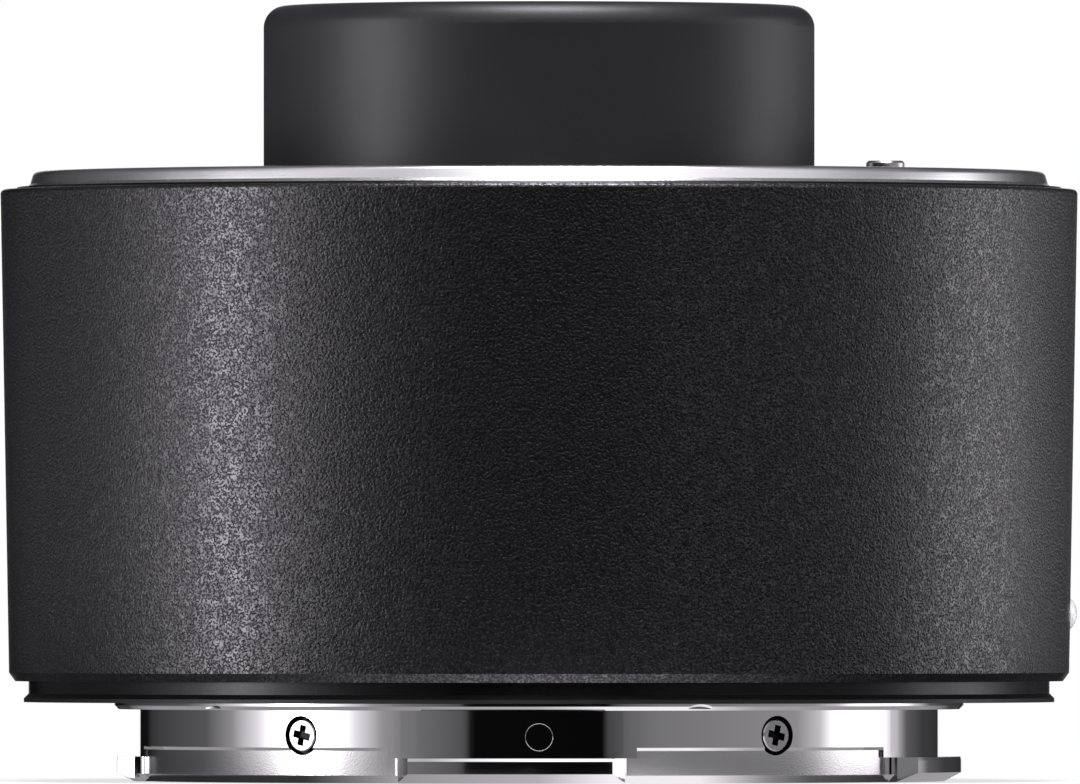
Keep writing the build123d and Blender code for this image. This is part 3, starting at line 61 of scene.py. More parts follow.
# %% Camera at the photograph's viewing angle
PICTURE_WIDTH = 1080
PIXELS_PER_METRE = 15500
CAMERA_DISTANCE = 1.9
CAMERA_SIDE = 0.00006
EYE_HEIGHT = 0.0123
LOOK_HEIGHT = 0.0251
SENSOR_WIDTH = 36.0

camera_data = bpy.data.cameras.new("camera")
camera_data.sensor_width = SENSOR_WIDTH
camera_data.lens = SENSOR_WIDTH * CAMERA_DISTANCE * PIXELS_PER_METRE / PICTURE_WIDTH
camera_data.clip_end = 20
camera = bpy.data.objects.new("camera", camera_data)
scene.collection.objects.link(camera)
camera.location = (CAMERA_SIDE, -CAMERA_DISTANCE, EYE_HEIGHT)
view_line = Vector((CAMERA_SIDE, 0, LOOK_HEIGHT)) - camera.location
camera.rotation_euler = view_line.to_track_quat("-Z", "Y").to_euler()
scene.camera = camera
scene.view_settings.view_transform = "Standard"
print("lens in mm:", round(camera_data.lens, 1))

# %% [markdown]
# ## Small helpers for node trees
#
# Every material below is a tree of shader nodes. Three helpers keep the trees short: one makes a
# node and sets its sockets, one links sockets, and one makes a node group with named inputs and
# outputs. A value given to a socket is a plain number or colour, and an output socket is linked.

# %% Node helpers
def put(tree, kind, inputs=None, **settings):
    """Adds a node, sets its properties, and sets or links its inputs by name or number."""
    node = tree.nodes.new(kind)
    for key, value in settings.items():
        setattr(node, key, value)
    for key, value in (inputs or {}).items():
        if isinstance(value, bpy.types.NodeSocket):
            tree.links.new(value, node.inputs[key])
        else:
            node.inputs[key].default_value = value
    return node


def calc(tree, operation, first, second=0.0, clamp=False):
    """A Math node with two inputs, and its output."""
    node = put(tree, "ShaderNodeMath", {0: first, 1: second}, operation=operation, use_clamp=clamp)
    return node.outputs[0]


def ramp(tree, factor, stops):
    """A colour ramp from (position, grey level) stops, and its output."""
    node = put(tree, "ShaderNodeValToRGB", {"Fac": factor})
    elements = node.color_ramp.elements
    while len(elements) < len(stops):
        elements.new(0.5)
    for element, (position, level) in zip(elements, sorted(stops)):
        element.position = position
        element.color = (level, level, level, 1)
    return node.outputs["Color"]


def group(name, inputs, outputs):
    """An empty node group. Inputs are (name, socket type, default), outputs (name, socket type)."""
    tree = bpy.data.node_groups.new(name, "ShaderNodeTree")
    for label, kind, default in inputs:
        socket = tree.interface.new_socket(label, in_out="INPUT", socket_type=kind)
        socket.default_value = default
    for label, kind in outputs:
        tree.interface.new_socket(label, in_out="OUTPUT", socket_type=kind)
    enter = tree.nodes.new("NodeGroupInput")
    leave = tree.nodes.new("NodeGroupOutput")
    return tree, enter.outputs, leave


def turn_share(tree, axes):
    """Direction round the object as a share of a turn: 0.5 towards the camera, more to the right."""
    turn = calc(tree, "ARCTAN2", axes["X"], calc(tree, "MULTIPLY", axes["Y"], -1))
    return calc(tree, "ADD", calc(tree, "DIVIDE", turn, 2 * math.pi), 0.5)


def round_object(tree, turn, stops, peak):
    """Share of a peak level for each direction, from (degrees, level) stops."""
    return ramp(tree, turn, [(0.5 + angle / 360, level / peak) for angle, level in stops])


def from_axis(tree, axes):
    """Distance from the optical axis."""
    squares = [calc(tree, "POWER", axes[name], 2) for name in ("X", "Y")]
    return calc(tree, "SQRT", calc(tree, "ADD", *squares))


MM = 0.001
FLOAT = "NodeSocketFloat"

# %% [markdown]
# ## The studio
#
# Chrome is a record of the room. Its reflections here show a black card round the camera, a tall
# white panel on each side and a little behind it, dim walls between them, and a bright ceiling that
# is strongest in front and right overhead. The two panels also make the upright bands of light on
# the black paint. One world shader holds all of it. A ramp gives the walls' level for each direction
# round the object, a second one the level just below the horizon and a third one the ceiling's. The
# height of a ray decides between them. A bright lamp nearly overhead is added on top.
#
# All these levels were set by comparing grey levels with one photograph. They make this view match it, and
# they don't measure the real studio.
#
# The camera sees white behind the object in every view, through Light Path, and so does light that passes
# through the glass.

# %% World: walls, panels and black card by direction
PEAK = 7.0
# Angle from the camera's direction, positive to the right, and the level there
WALLS = (
    (-180, 0.85), (-175, 0.85), (-172, 0.006), (-157, 0.006), (-150, 0.045), (-112, 0.12), (-100, 0.35),
    (-89, 1.0), (-79, 2.2), (-73, 7.0), (-69, 7.0), (-62, 2.2), (-54, 1.0), (-46, 0.38), (-36, 0.2),
    (-21.5, 0.11), (-19.5, 0.004), (18.5, 0.003), (23, 0.14), (34, 0.23), (60, 0.29), (80, 0.35),
    (89, 0.72), (97, 2.0), (115, 2.0), (120, 1.3), (126, 0.6), (133, 0.13), (146, 0.056), (172, 0.03),
    (175, 0.85), (180, 0.85),
)
# Just below the horizon the pale table far behind the object lightens the walls at the sides
LOW_WALLS = (
    (-180, 0.25), (-157, 0.28), (-129, 0.55), (-112, 0.8), (-100, 0.8), (-89, 1.2), (-79, 2.2), (-73, 7.0),
    (-69, 7.0), (-62, 2.2), (-54, 1.0), (-46, 0.38), (-36, 0.2), (-21.5, 0.11), (-19.5, 0.004), (18.5, 0.003),
    (23, 0.1), (34, 0.13), (60, 0.15), (80, 0.16), (92, 0.3), (104, 0.8), (121, 2.1), (133, 1.8), (146, 1.1),
    (160, 0.7), (180, 0.25),
)
CEILING = (
    (-180, 0.06), (-140, 0.07), (-105, 0.17), (-86, 0.45), (-57, 0.8), (-32, 0.6), (-18, 1.2), (0, 1.8),
    (25, 1.6), (43, 1.1), (64, 0.85), (92, 0.26), (120, 0.16), (150, 0.08), (180, 0.06),
)
OVERHEAD_LEVEL = 24.0
OVERHEAD_SPOT = (0.06, -0.2, 1.0)
OVERHEAD_EDGE = (0.955, 0.99)
UNDER_LEVEL = 0.15
# Heights of a ray between which one level takes over from the other
LOW_TO_WALLS = (-0.12, -0.04)
WALLS_TO_CEILING = (0.31, 0.37)
UNDER_TO_LOW = (-0.5, -0.25)
STUDIO_TINT = (0.99, 0.97, 1.03, 1)

world = bpy.data.worlds.new("studio")
scene.world = world
world.use_nodes = True
tree = world.node_tree
tree.nodes.clear()
direction = put(tree, "ShaderNodeTexCoord").outputs["Generated"]
axes = put(tree, "ShaderNodeSeparateXYZ", {0: direction}).outputs
turn = turn_share(tree, axes)


def levels(stops):
    """Level for the direction of a ray, from stops in degrees."""
    return calc(tree, "MULTIPLY", round_object(tree, turn, stops, PEAK), PEAK)


def between(low, high, height=axes["Z"]):
    """Share that rises from 0 to 1 between two heights of a ray, from -1 straight down to 1 up."""
    inputs = {"Value": height, "From Min": low, "From Max": high}
    return put(tree, "ShaderNodeMapRange", inputs, interpolation_type="SMOOTHSTEP").outputs["Result"]


def blend_levels(tree, first, second, share):
    """First level where the share is 0, second where it is 1."""
    kept = calc(tree, "MULTIPLY", first, calc(tree, "SUBTRACT", 1, share))
    return calc(tree, "ADD", kept, calc(tree, "MULTIPLY", second, share))


light = blend_levels(tree, levels(LOW_WALLS), levels(WALLS), between(*LOW_TO_WALLS))
light = blend_levels(tree, light, levels(CEILING), between(*WALLS_TO_CEILING))
inputs = {0: direction, 1: Vector(OVERHEAD_SPOT).normalized()}
near_lamp = put(tree, "ShaderNodeVectorMath", inputs, operation="DOT_PRODUCT").outputs["Value"]
light = blend_levels(tree, light, OVERHEAD_LEVEL, between(*OVERHEAD_EDGE, near_lamp))
light = blend_levels(tree, UNDER_LEVEL, light, between(*UNDER_TO_LOW))
studio_light = put(tree, "ShaderNodeBackground", {"Color": STUDIO_TINT, "Strength": light})
white = put(tree, "ShaderNodeBackground", {"Color": (1, 1, 1, 1), "Strength": 1.0})
rays = put(tree, "ShaderNodeLightPath").outputs
sees_white = calc(tree, "MAXIMUM", rays["Is Camera Ray"], rays["Is Transmission Ray"])
sky = put(tree, "ShaderNodeMixShader", {0: sees_white, 1: studio_light.outputs[0], 2: white.outputs[0]})
put(tree, "ShaderNodeOutputWorld", {"Surface": sky.outputs[0]})
print("world stops:", len(WALLS), "round the walls,", len(CEILING), "round the ceiling")

# %% [markdown]
# ## The floor
#
# The object stands on a small round pale stand. It is so small that the chrome tube, seen flat
# from the front, mirrors the room beyond it. The stand is plain white to the camera towards its
# rim, so its edge doesn't show, and it keeps the object's shadow near the middle.
#
# The faces that look down mirror the stand itself. In the photograph they are bright in front and
# dark at the sides, as over a table that is lit from the front only. A glossy ray therefore sees a
# level that depends on the direction round the object, like the walls.

# %% Floor
STAND_RADIUS = 0.075
STAND_SIDES = 128
SHADE_SHARE = 0.3
SHADE_START = 0.4
# Distances from the axis in metres: the foot's own shadow ends, the foot's table turns into the
# outer table, and the outer table fades to a share of its level
SHADOW_RADIUS = 0.02556
FOOT_TO_OUTER = (0.029, 0.033)
TABLE_FADE = (0.04, 0.056)
TABLE_END_SHARE = 0.08
TABLE_PEAK = 1.8
# Angle round the object from the camera's side, positive to the right, and the level mirrored there:
# under the rim of the barrel, close to the foot, and in the foot's own shadow
TABLE = (
    (-180, 0.06), (-90, 0.06), (-67, 0.09), (-41, 0.25), (-27, 0.6), (-17, 0.9), (0, 1.8), (17, 1.0),
    (30, 0.4), (44, 0.12), (62, 0.06), (180, 0.06),
)
FOOT_TABLE = (
    (-180, 0.3), (-60, 0.4), (-45, 0.35), (-28, 0.35), (-20, 0.4), (-10, 0.5), (0, 0.6), (10, 1.2),
    (24, 1.2), (30, 0.8), (36, 0.5), (44, 0.45), (60, 0.4), (180, 0.3),
)
FOOT_SHADOW = (
    (-180, 0.03), (-60, 0.03), (-36, 0.05), (-28, 0.25), (-20, 0.5), (0, 0.6), (10, 1.2), (24, 1.2),
    (30, 0.7), (36, 0.3), (44, 0.12), (60, 0.05), (180, 0.03),
)

bpy.ops.mesh.primitive_circle_add(vertices=STAND_SIDES, radius=STAND_RADIUS, fill_type="NGON")
floor = bpy.context.object
floor.name = "floor"
paper = bpy.data.materials.new("floor_paper")
paper.use_nodes = True
tree = paper.node_tree
sheet = tree.nodes["Principled BSDF"]
sheet.inputs["Base Color"].default_value = (0.88, 0.88, 0.88, 1)
sheet.inputs["Roughness"].default_value = 0.6
plain = put(tree, "ShaderNodeEmission", {"Color": (1, 1, 1, 1), "Strength": 1.0})
spot = put(tree, "ShaderNodeTexCoord").outputs["Object"]
from_middle = put(tree, "ShaderNodeVectorMath", {0: spot}, operation="LENGTH").outputs["Value"]
inputs = {"Value": from_middle, "From Min": SHADE_START * STAND_RADIUS, "From Max": STAND_RADIUS}
inputs.update({"To Min": 1 - SHADE_SHARE, "To Max": 1.0})
fade = put(tree, "ShaderNodeMapRange", inputs, interpolation_type="SMOOTHSTEP").outputs["Result"]
rays = put(tree, "ShaderNodeLightPath").outputs
seen = calc(tree, "MAXIMUM", rays["Is Camera Ray"], rays["Is Transmission Ray"])
share = calc(tree, "MULTIPLY", seen, fade)
shown = put(tree, "ShaderNodeMixShader", {0: share, 1: sheet.outputs[0], 2: plain.outputs[0]})
turn = turn_share(tree, put(tree, "ShaderNodeSeparateXYZ", {0: spot}).outputs)
table, foot, shadow = (round_object(tree, turn, s, TABLE_PEAK) for s in (TABLE, FOOT_TABLE, FOOT_SHADOW))
foot = blend_levels(tree, foot, shadow, calc(tree, "LESS_THAN", from_middle, SHADOW_RADIUS))
inputs = {"Value": from_middle, "From Min": FOOT_TO_OUTER[0], "From Max": FOOT_TO_OUTER[1]}
outer = put(tree, "ShaderNodeMapRange", inputs).outputs["Result"]
inputs = {"Value": from_middle, "From Min": TABLE_FADE[0], "From Max": TABLE_FADE[1]}
inputs.update({"To Min": 1.0, "To Max": TABLE_END_SHARE})
lit = put(tree, "ShaderNodeMapRange", inputs, interpolation_type="SMOOTHSTEP").outputs["Result"]
table = calc(tree, "MULTIPLY", blend_levels(tree, foot, table, outer), lit)
inputs = {"Color": STUDIO_TINT, "Strength": calc(tree, "MULTIPLY", table, TABLE_PEAK)}
mirrored = put(tree, "ShaderNodeEmission", inputs)
inputs = {0: rays["Is Glossy Ray"], 1: shown.outputs[0], 2: mirrored.outputs[0]}
mixed = put(tree, "ShaderNodeMixShader", inputs)
tree.links.new(mixed.outputs[0], tree.nodes["Material Output"].inputs["Surface"])
floor.data.materials.append(paper)

# %% [markdown]
# ## Effects that several finishes share
#
# Real surfaces are never quite even. Three effects come back in most of the finishes here, so each
# is a node group with its own inputs. **Grain** is a fine irregular height, as in paint or cast
# plastic. **Turned lines** are the rings that a lathe tool leaves: they depend on the distance from
# the optical axis and on the height along it. **Handling** is a slow, cloudy change that makes
# polished and painted surfaces a little duller in places.

# %% Grain group
grain, enter, leave = group(
    "grain",
    [("Size", FLOAT, 0.0004), ("Roughness", FLOAT, 0.6), ("Contrast", FLOAT, 1.0), ("Detail", FLOAT, 3.0)],
    [("Height", FLOAT), ("Mask", FLOAT)],
)
place = put(grain, "ShaderNodeTexCoord").outputs["Object"]
frequency = calc(grain, "DIVIDE", 1.0, enter["Size"])
cells = put(
    grain,
    "ShaderNodeTexNoise",
    {"Vector": place, "Scale": frequency, "Detail": enter["Detail"], "Roughness": enter["Roughness"]},
)
centred = calc(grain, "SUBTRACT", cells.outputs["Fac"], 0.5)
height = calc(grain, "ADD", calc(grain, "MULTIPLY", centred, enter["Contrast"]), 0.5, clamp=True)
grain.links.new(height, leave.inputs["Height"])
grain.links.new(ramp(grain, height, [(0.45, 0.0), (0.75, 1.0)]), leave.inputs["Mask"])

# %% Turned lines group
turned, enter, leave = group(
    "turned_lines",
    [("Pitch", FLOAT, 0.00012), ("Wander", FLOAT, 0.5)],
    [("Height", FLOAT), ("Mask", FLOAT)],
)
place = put(turned, "ShaderNodeTexCoord").outputs["Object"]
axes = put(turned, "ShaderNodeSeparateXYZ", {0: place}).outputs
along = calc(turned, "ADD", from_axis(turned, axes), calc(turned, "MULTIPLY", axes["Z"], 1.3))
inputs = {"W": calc(turned, "DIVIDE", along, enter["Pitch"]), "Scale": 1.0, "Detail": 2.0}
lines = put(turned, "ShaderNodeTexNoise", inputs, noise_dimensions="1D")
cloud = put(turned, "ShaderNodeTexNoise", {"Vector": place, "Scale": 260.0, "Detail": 2.0})
wander = calc(turned, "MULTIPLY", cloud.outputs["Fac"], enter["Wander"])
height = calc(turned, "MULTIPLY", lines.outputs["Fac"], calc(turned, "SUBTRACT", 1.2, wander))
turned.links.new(height, leave.inputs["Height"])
turned.links.new(lines.outputs["Fac"], leave.inputs["Mask"])

# %% Handling group
handling, enter, leave = group(
    "handling",
    [("Size", FLOAT, 0.012), ("Low", FLOAT, 0.2), ("High", FLOAT, 0.3)],
    [("Roughness", FLOAT), ("Mask", FLOAT)],
)
place = put(handling, "ShaderNodeTexCoord").outputs["Object"]
frequency = calc(handling, "DIVIDE", 1.0, enter["Size"])
inputs = {"Vector": place, "Scale": frequency, "Detail": 5.0, "Roughness": 0.6}
cloud = put(handling, "ShaderNodeTexNoise", inputs)
mask = ramp(handling, cloud.outputs["Fac"], [(0.35, 0.0), (0.68, 1.0)])
span = calc(handling, "SUBTRACT", enter["High"], enter["Low"])
rough = calc(handling, "ADD", enter["Low"], calc(handling, "MULTIPLY", mask, span))
handling.links.new(rough, leave.inputs["Roughness"])
handling.links.new(mask, leave.inputs["Mask"])
print("node groups:", [g.name for g in bpy.data.node_groups])


# %% [markdown]
# ## A material and its shader
#
# Each finish starts from a Principled BSDF and an output, and adds as many effect groups as it
# needs. The helper returns the tree and the shader, so that a finish can be written in a
# few lines. Plain values, such as the index of refraction, are set on the shader's own socket.

# %% Material helper
def finish(name, colour, metallic=0.0, roughness=0.5, **sockets):
    """A new material with a Principled BSDF. Extra sockets are given by name, with _ for a space."""
    material = bpy.data.materials.new(name)
    material.use_nodes = True
    tree = material.node_tree
    shader = tree.nodes["Principled BSDF"]
    shader.inputs["Base Color"].default_value = (*colour, 1)
    shader.inputs["Metallic"].default_value = metallic
    shader.inputs["Roughness"].default_value = roughness
    for key, value in sockets.items():
        shader.inputs[key.replace("_", " ")].default_value = value
    return material, tree, shader


def effect(tree, source, **inputs):
    """Places an effect group in a material and returns its outputs."""
    node = tree.nodes.new("ShaderNodeGroup")
    node.node_tree = source
    for key, value in inputs.items():
        node.inputs[key].default_value = value
    return node.outputs


def raise_surface(tree, shader, height, distance):
    """Tilts the surface by a height from 0 to 1, where 1 stands for a distance in metres."""
    bump = put(tree, "ShaderNodeBump", {"Height": height, "Distance": distance, "Strength": 1.0})
    tree.links.new(bump.outputs["Normal"], shader.inputs["Normal"])


def tint(tree, shader, mask, low, high):
    """Base colour between two colours by a mask."""
    mix = put(tree, "ShaderNodeMix", {0: mask}, data_type="RGBA")
    mix.inputs[6].default_value = (*low, 1)
    mix.inputs[7].default_value = (*high, 1)
    tree.links.new(mix.outputs[2], shader.inputs["Base Color"])


def dress(material, *names):
    """Gives CAD pieces a material."""
    for name in names:
        piece = nodes[name]
        piece.data.materials.clear()
        piece.data.materials.append(material)


# %% [markdown]
# ## Wrinkled black paint
#
# The barrel is sprayed with a paint that dries to small raised islands, each a fraction of a
# millimetre across. They are too fine for geometry, so they are a height that tilts the surface.
# A second grain makes glossy flecks, as a clear coat that is there in some places only. A third and
# larger one makes the flecks stronger in patches, which gives the paint its sparkle in the light.

# %% Barrel paint
ISLAND_SIZE = 0.00017
ISLAND_HEIGHT = 0.000032
FLECK_SIZE = 0.00014
PATCH_SIZE = 0.0007
# Roughness, then what the clouds add to it. Coat of a fleck, then what a patch adds to it
PAINT_ROUGHNESS, CLOUD_ROUGHNESS = 0.31, 0.04
FLECK_COAT, PATCH_COAT = 0.5, 0.45

barrel_paint, tree, shader = finish(
    "barrel_black",
    (0.004, 0.004, 0.0045),
    IOR=1.43,
    Specular_Tint=(0.99, 0.96, 1.0, 1),
    Coat_Roughness=0.23,
    Coat_IOR=1.75,
)
islands = effect(tree, grain, Size=ISLAND_SIZE, Roughness=0.5, Contrast=2.0, Detail=1.0)
flecks = effect(tree, grain, Size=FLECK_SIZE, Roughness=0.5, Contrast=3.0, Detail=0.0)
patches = effect(tree, grain, Size=PATCH_SIZE, Roughness=0.5, Contrast=2.0, Detail=1.0)
cloud = effect(tree, handling, Size=0.010)
tint(tree, shader, islands["Mask"], (0.001, 0.001, 0.0012), (0.006, 0.006, 0.0065))
gloss = calc(tree, "ADD", PAINT_ROUGHNESS, calc(tree, "MULTIPLY", cloud["Mask"], CLOUD_ROUGHNESS))
tree.links.new(gloss, shader.inputs["Roughness"])
share = calc(tree, "ADD", FLECK_COAT, calc(tree, "MULTIPLY", patches["Mask"], PATCH_COAT))
tree.links.new(calc(tree, "MULTIPLY", flecks["Mask"], share), shader.inputs["Coat Weight"])
raise_surface(tree, shader, islands["Height"], ISLAND_HEIGHT)
dress(barrel_paint, "outer_barrel")

# %% [markdown]
# ## Satin black
#
# The neck, the trim ring and the rear cover are anodised or painted smooth. A close look shows a
# very fine tooth, which spreads the light into soft bands, and slight clouds from handling.

# %% Satin black pieces
satin, tree, shader = finish("satin_black", (0.008, 0.008, 0.0085), roughness=0.45, IOR=1.5)
clouds = effect(tree, handling, Size=0.009, Low=0.41, High=0.48)
fine = effect(tree, grain, Size=0.00012, Roughness=0.5, Contrast=1.4)
tree.links.new(clouds["Roughness"], shader.inputs["Roughness"])
tint(tree, shader, clouds["Mask"], (0.007, 0.007, 0.0075), (0.009, 0.009, 0.0096))
raise_surface(tree, shader, fine["Height"], 0.000006)
dress(satin, "front_lens_barrel", "release_knob")

smooth_black, tree, shader = finish("smooth_black", (0.0015, 0.0015, 0.0017), roughness=0.25, IOR=1.4)
clouds = effect(tree, handling, Size=0.007, Low=0.2, High=0.3)
lines = effect(tree, turned, Pitch=0.0002, Wander=0.3)
tree.links.new(clouds["Roughness"], shader.inputs["Roughness"])
tint(tree, shader, clouds["Mask"], (0.001, 0.001, 0.0012), (0.002, 0.002, 0.0022))
raise_surface(tree, shader, lines["Height"], 0.000002)
dress(smooth_black, "front_trim_ring", "rear_cover")

ridged_black, tree, shader = finish("ridged_black", (0.012, 0.012, 0.0125), roughness=0.62)
rings = effect(tree, turned, Pitch=0.0003, Wander=0.1)
clouds = effect(tree, handling, Size=0.006, Low=0.55, High=0.7)
tree.links.new(clouds["Roughness"], shader.inputs["Roughness"])
raise_surface(tree, shader, rings["Mask"], 0.00004)
dress(
    ridged_black,
    "front_retainer",
    "rear_retainer",
    "rear_lens_cell",
    "rear_baffle",
    "light_shield",
    "spacer_1",
    "spacer_2",
    "rear_spacer",
)

# %% [markdown]
# ## Chrome and turned steel
#
# The camera-side bayonet is brass with hard chrome over lathe lines, so it mirrors the studio but
# blurs it a little. The lens-side ring is softer: its turned lines stretch the reflections round
# the ring. Both start from a full metal and differ in roughness and in how deep their lines are.

# %% Bayonet chrome and mount steel
# The gaps between the tabs are milled 0.2 mm deeper than the tube, so a radius between the two picks
# them out, below a height just over their roof. Both are in metres
MILLED_RADIUS = 0.02561
MILLED_TOP = 0.00228
MILLED_ROUGHNESS = 0.13
MILLED_GRIT, LINE_DEPTH = 2.5, 0.25
# The chrome's own colour, then a near black that is painted into the screw holes as painted shade
CHROME, HOLE_SHADE_COLOUR = (0.74, 0.735, 0.725), (0.01, 0.01, 0.01)

milled, enter, leave = group(
    "milled_wall",
    [("Radius", FLOAT, MILLED_RADIUS), ("Top", FLOAT, MILLED_TOP)],
    [("Mask", FLOAT)],
)
place = put(milled, "ShaderNodeTexCoord").outputs["Object"]
axes = put(milled, "ShaderNodeSeparateXYZ", {0: place}).outputs
inside = calc(milled, "LESS_THAN", from_axis(milled, axes), enter["Radius"])
below = calc(milled, "LESS_THAN", axes["Z"], enter["Top"])
milled.links.new(calc(milled, "MULTIPLY", inside, below), leave.inputs["Mask"])

# Two screws go through the tube on either side of the dowel, at the same height. The first output is 1 inside
# their holes, the second below the faces of their heads. Both mark places where near black is painted in as
# painted shade. One side is folded onto the other, so one screw's place in degrees and mm serves both
WALL_SCREWS = (-126.2, -53.8)
WALL_SCREW_HEIGHT = 3.05
screw_hole_shade, enter, leave = group(
    "wall_screws",
    [("Hole", FLOAT, 0.00128), ("Wall", FLOAT, 0.0257), ("Face", FLOAT, 0.02558)],
    [("Mask", FLOAT), ("Recess", FLOAT)],
)
place = put(screw_hole_shade, "ShaderNodeTexCoord").outputs["Object"]
inputs = {0: place, 1: (0, 0, WALL_SCREW_HEIGHT * MM)}
from_screw = put(screw_hole_shade, "ShaderNodeVectorMath", inputs, operation="SUBTRACT").outputs[0]
axes = put(screw_hole_shade, "ShaderNodeSeparateXYZ", {0: from_screw}).outputs
inputs = {0: calc(screw_hole_shade, "ABSOLUTE", axes["X"]), 1: axes["Y"], 2: axes["Z"]}
folded = put(screw_hole_shade, "ShaderNodeCombineXYZ", inputs).outputs[0]
turn = math.radians(WALL_SCREWS[1])
inputs = {0: folded, 1: (math.cos(turn), math.sin(turn), 0)}
along = put(screw_hole_shade, "ShaderNodeVectorMath", inputs, operation="DOT_PRODUCT").outputs["Value"]
length = put(screw_hole_shade, "ShaderNodeVectorMath", {0: folded}, operation="LENGTH").outputs["Value"]
squares = calc(screw_hole_shade, "SUBTRACT", calc(screw_hole_shade, "POWER", length, 2), calc(screw_hole_shade, "POWER", along, 2))
near = calc(screw_hole_shade, "LESS_THAN", calc(screw_hole_shade, "SQRT", squares), enter["Hole"])
inside = calc(screw_hole_shade, "LESS_THAN", along, enter["Wall"])
screw_hole_shade.links.new(calc(screw_hole_shade, "MULTIPLY", near, inside), leave.inputs["Mask"])
screw_hole_shade.links.new(calc(screw_hole_shade, "LESS_THAN", along, enter["Face"]), leave.inputs["Recess"])

chrome, tree, shader = finish("bayonet_chrome", CHROME, metallic=1.0, roughness=0.04)
wall = effect(tree, milled)
lines = effect(tree, turned, Pitch=0.0004, Wander=0.6)
clouds = effect(tree, handling, Size=0.005, Low=0.025, High=0.06)
grit = effect(tree, grain, Size=0.00013, Roughness=0.6, Contrast=1.8)
gloss = calc(tree, "ADD", clouds["Roughness"], calc(tree, "MULTIPLY", wall["Mask"], MILLED_ROUGHNESS))
tree.links.new(gloss, shader.inputs["Roughness"])
# Painted shade: the walls of the screw holes in the tube are painted near black
holes = effect(tree, screw_hole_shade)
tint(tree, shader, holes["Mask"], CHROME, HOLE_SHADE_COLOUR)
height = calc(tree, "MULTIPLY", grit["Height"], calc(tree, "MULTIPLY", wall["Mask"], MILLED_GRIT))
height = calc(tree, "ADD", height, calc(tree, "MULTIPLY", lines["Height"], LINE_DEPTH))
raise_surface(tree, shader, height, 0.0000008)

mount_steel, tree, shader = finish("mount_silver", (0.80, 0.80, 0.79), metallic=1.0, roughness=0.25)
lines = effect(tree, turned, Pitch=0.00009, Wander=0.4)
clouds = effect(tree, handling, Size=0.008, Low=0.20, High=0.27)
tree.links.new(clouds["Roughness"], shader.inputs["Roughness"])
tint(tree, shader, lines["Mask"], (0.76, 0.76, 0.755), (0.84, 0.84, 0.83))
raise_surface(tree, shader, lines["Height"], 0.0000015)

# %% [markdown]
# ## Turned pieces with a finer mesh
#
# Chrome shows every facet. The CAD mesh of the camera-side bayonet and of the lens-side ring has
# long thin facets that bend the reflections, so both get a mesh that is made for shading. They are
# turned on a lathe and then milled, and the mesh is made the same way. At every azimuth the piece has
# a **section**: a closed row of points, each with a radius and a height. The section changes where a
# tab or a milled gap starts, and two sections at one azimuth make a wall that faces round the piece.
#
# The section has the same number of points everywhere, so the rows join up into quads. Points that
# fall together are merged afterwards. Screw holes are cut last, with a Boolean modifier.

# %% Turned mesh
STEP = 1.0
MERGE = 0.0005


def keep(mesh, name):
    """A new object from an edit mesh."""
    data = bpy.data.meshes.new(name)
    mesh.to_mesh(data)
    mesh.free()
    piece = bpy.data.objects.new(name, data)
    scene.collection.objects.link(piece)
    return piece


def turned_piece(name, rows):
    """A closed ring from (azimuth in degrees, section in mm) rows, in order round the axis."""
    mesh = bmesh.new()
    rings = []
    for azimuth, section in rows:
        turn = math.radians(azimuth)
        spots = [(r * MM * math.cos(turn), r * MM * math.sin(turn), z * MM) for r, z in section]
        rings.append([mesh.verts.new(spot) for spot in spots])
    count = len(rings[0])
    for ring, after in zip(rings, rings[1:] + rings[:1]):
        for i in range(count):
            j = (i + 1) % count
            mesh.faces.new((ring[i], after[i], after[j], ring[j]))
    bmesh.ops.remove_doubles(mesh, verts=mesh.verts, dist=MERGE * MM)
    bmesh.ops.dissolve_degenerate(mesh, edges=mesh.edges, dist=MERGE * MM)
    bmesh.ops.recalc_face_normals(mesh, faces=mesh.faces)
    return keep(mesh, name)


def cutter(spot, along, profile, sides=64):
    """A turned plug to cut with: (radius, distance) points along a direction from a spot, in mm."""
    mesh = bmesh.new()
    rings = []
    for radius, distance in profile:
        turns = [2 * math.pi * k / sides for k in range(sides)]
        spots = [(radius * math.cos(t), radius * math.sin(t), distance) for t in turns]
        rings.append([mesh.verts.new(point) for point in spots])
    for ring, after in zip(rings, rings[1:]):
        for k in range(sides):
            n = (k + 1) % sides
            mesh.faces.new((ring[k], ring[n], after[n], after[k]))
    mesh.faces.new(rings[0])
    mesh.faces.new(rings[-1])
    bmesh.ops.recalc_face_normals(mesh, faces=mesh.faces)
    turn = Vector(along).to_track_quat("Z", "Y").to_matrix().to_4x4()
    place = Matrix.Scale(MM, 4) @ Matrix.Translation(spot) @ turn
    bmesh.ops.transform(mesh, matrix=place, verts=mesh.verts)
    return mesh


def pierce(piece, plugs):
    """Cuts the plugs from a piece, then applies the cut."""
    joined = bmesh.new()
    for plug in plugs:
        data = bpy.data.meshes.new("plug")
        plug.to_mesh(data)
        plug.free()
        joined.from_mesh(data)
        bpy.data.meshes.remove(data)
    data = bpy.data.meshes.new("plugs")
    joined.to_mesh(data)
    joined.free()
    tool = bpy.data.objects.new("plugs", data)
    scene.collection.objects.link(tool)
    cut = piece.modifiers.new("holes", "BOOLEAN")
    cut.operation = "DIFFERENCE"
    cut.solver = "EXACT"
    cut.object = tool
    bpy.context.view_layer.update()
    shaped = bpy.data.meshes.new_from_object(piece.evaluated_get(bpy.context.evaluated_depsgraph_get()))
    piece.modifiers.clear()
    piece.data = shaped
    bpy.data.objects.remove(tool)
    bpy.data.meshes.remove(data)


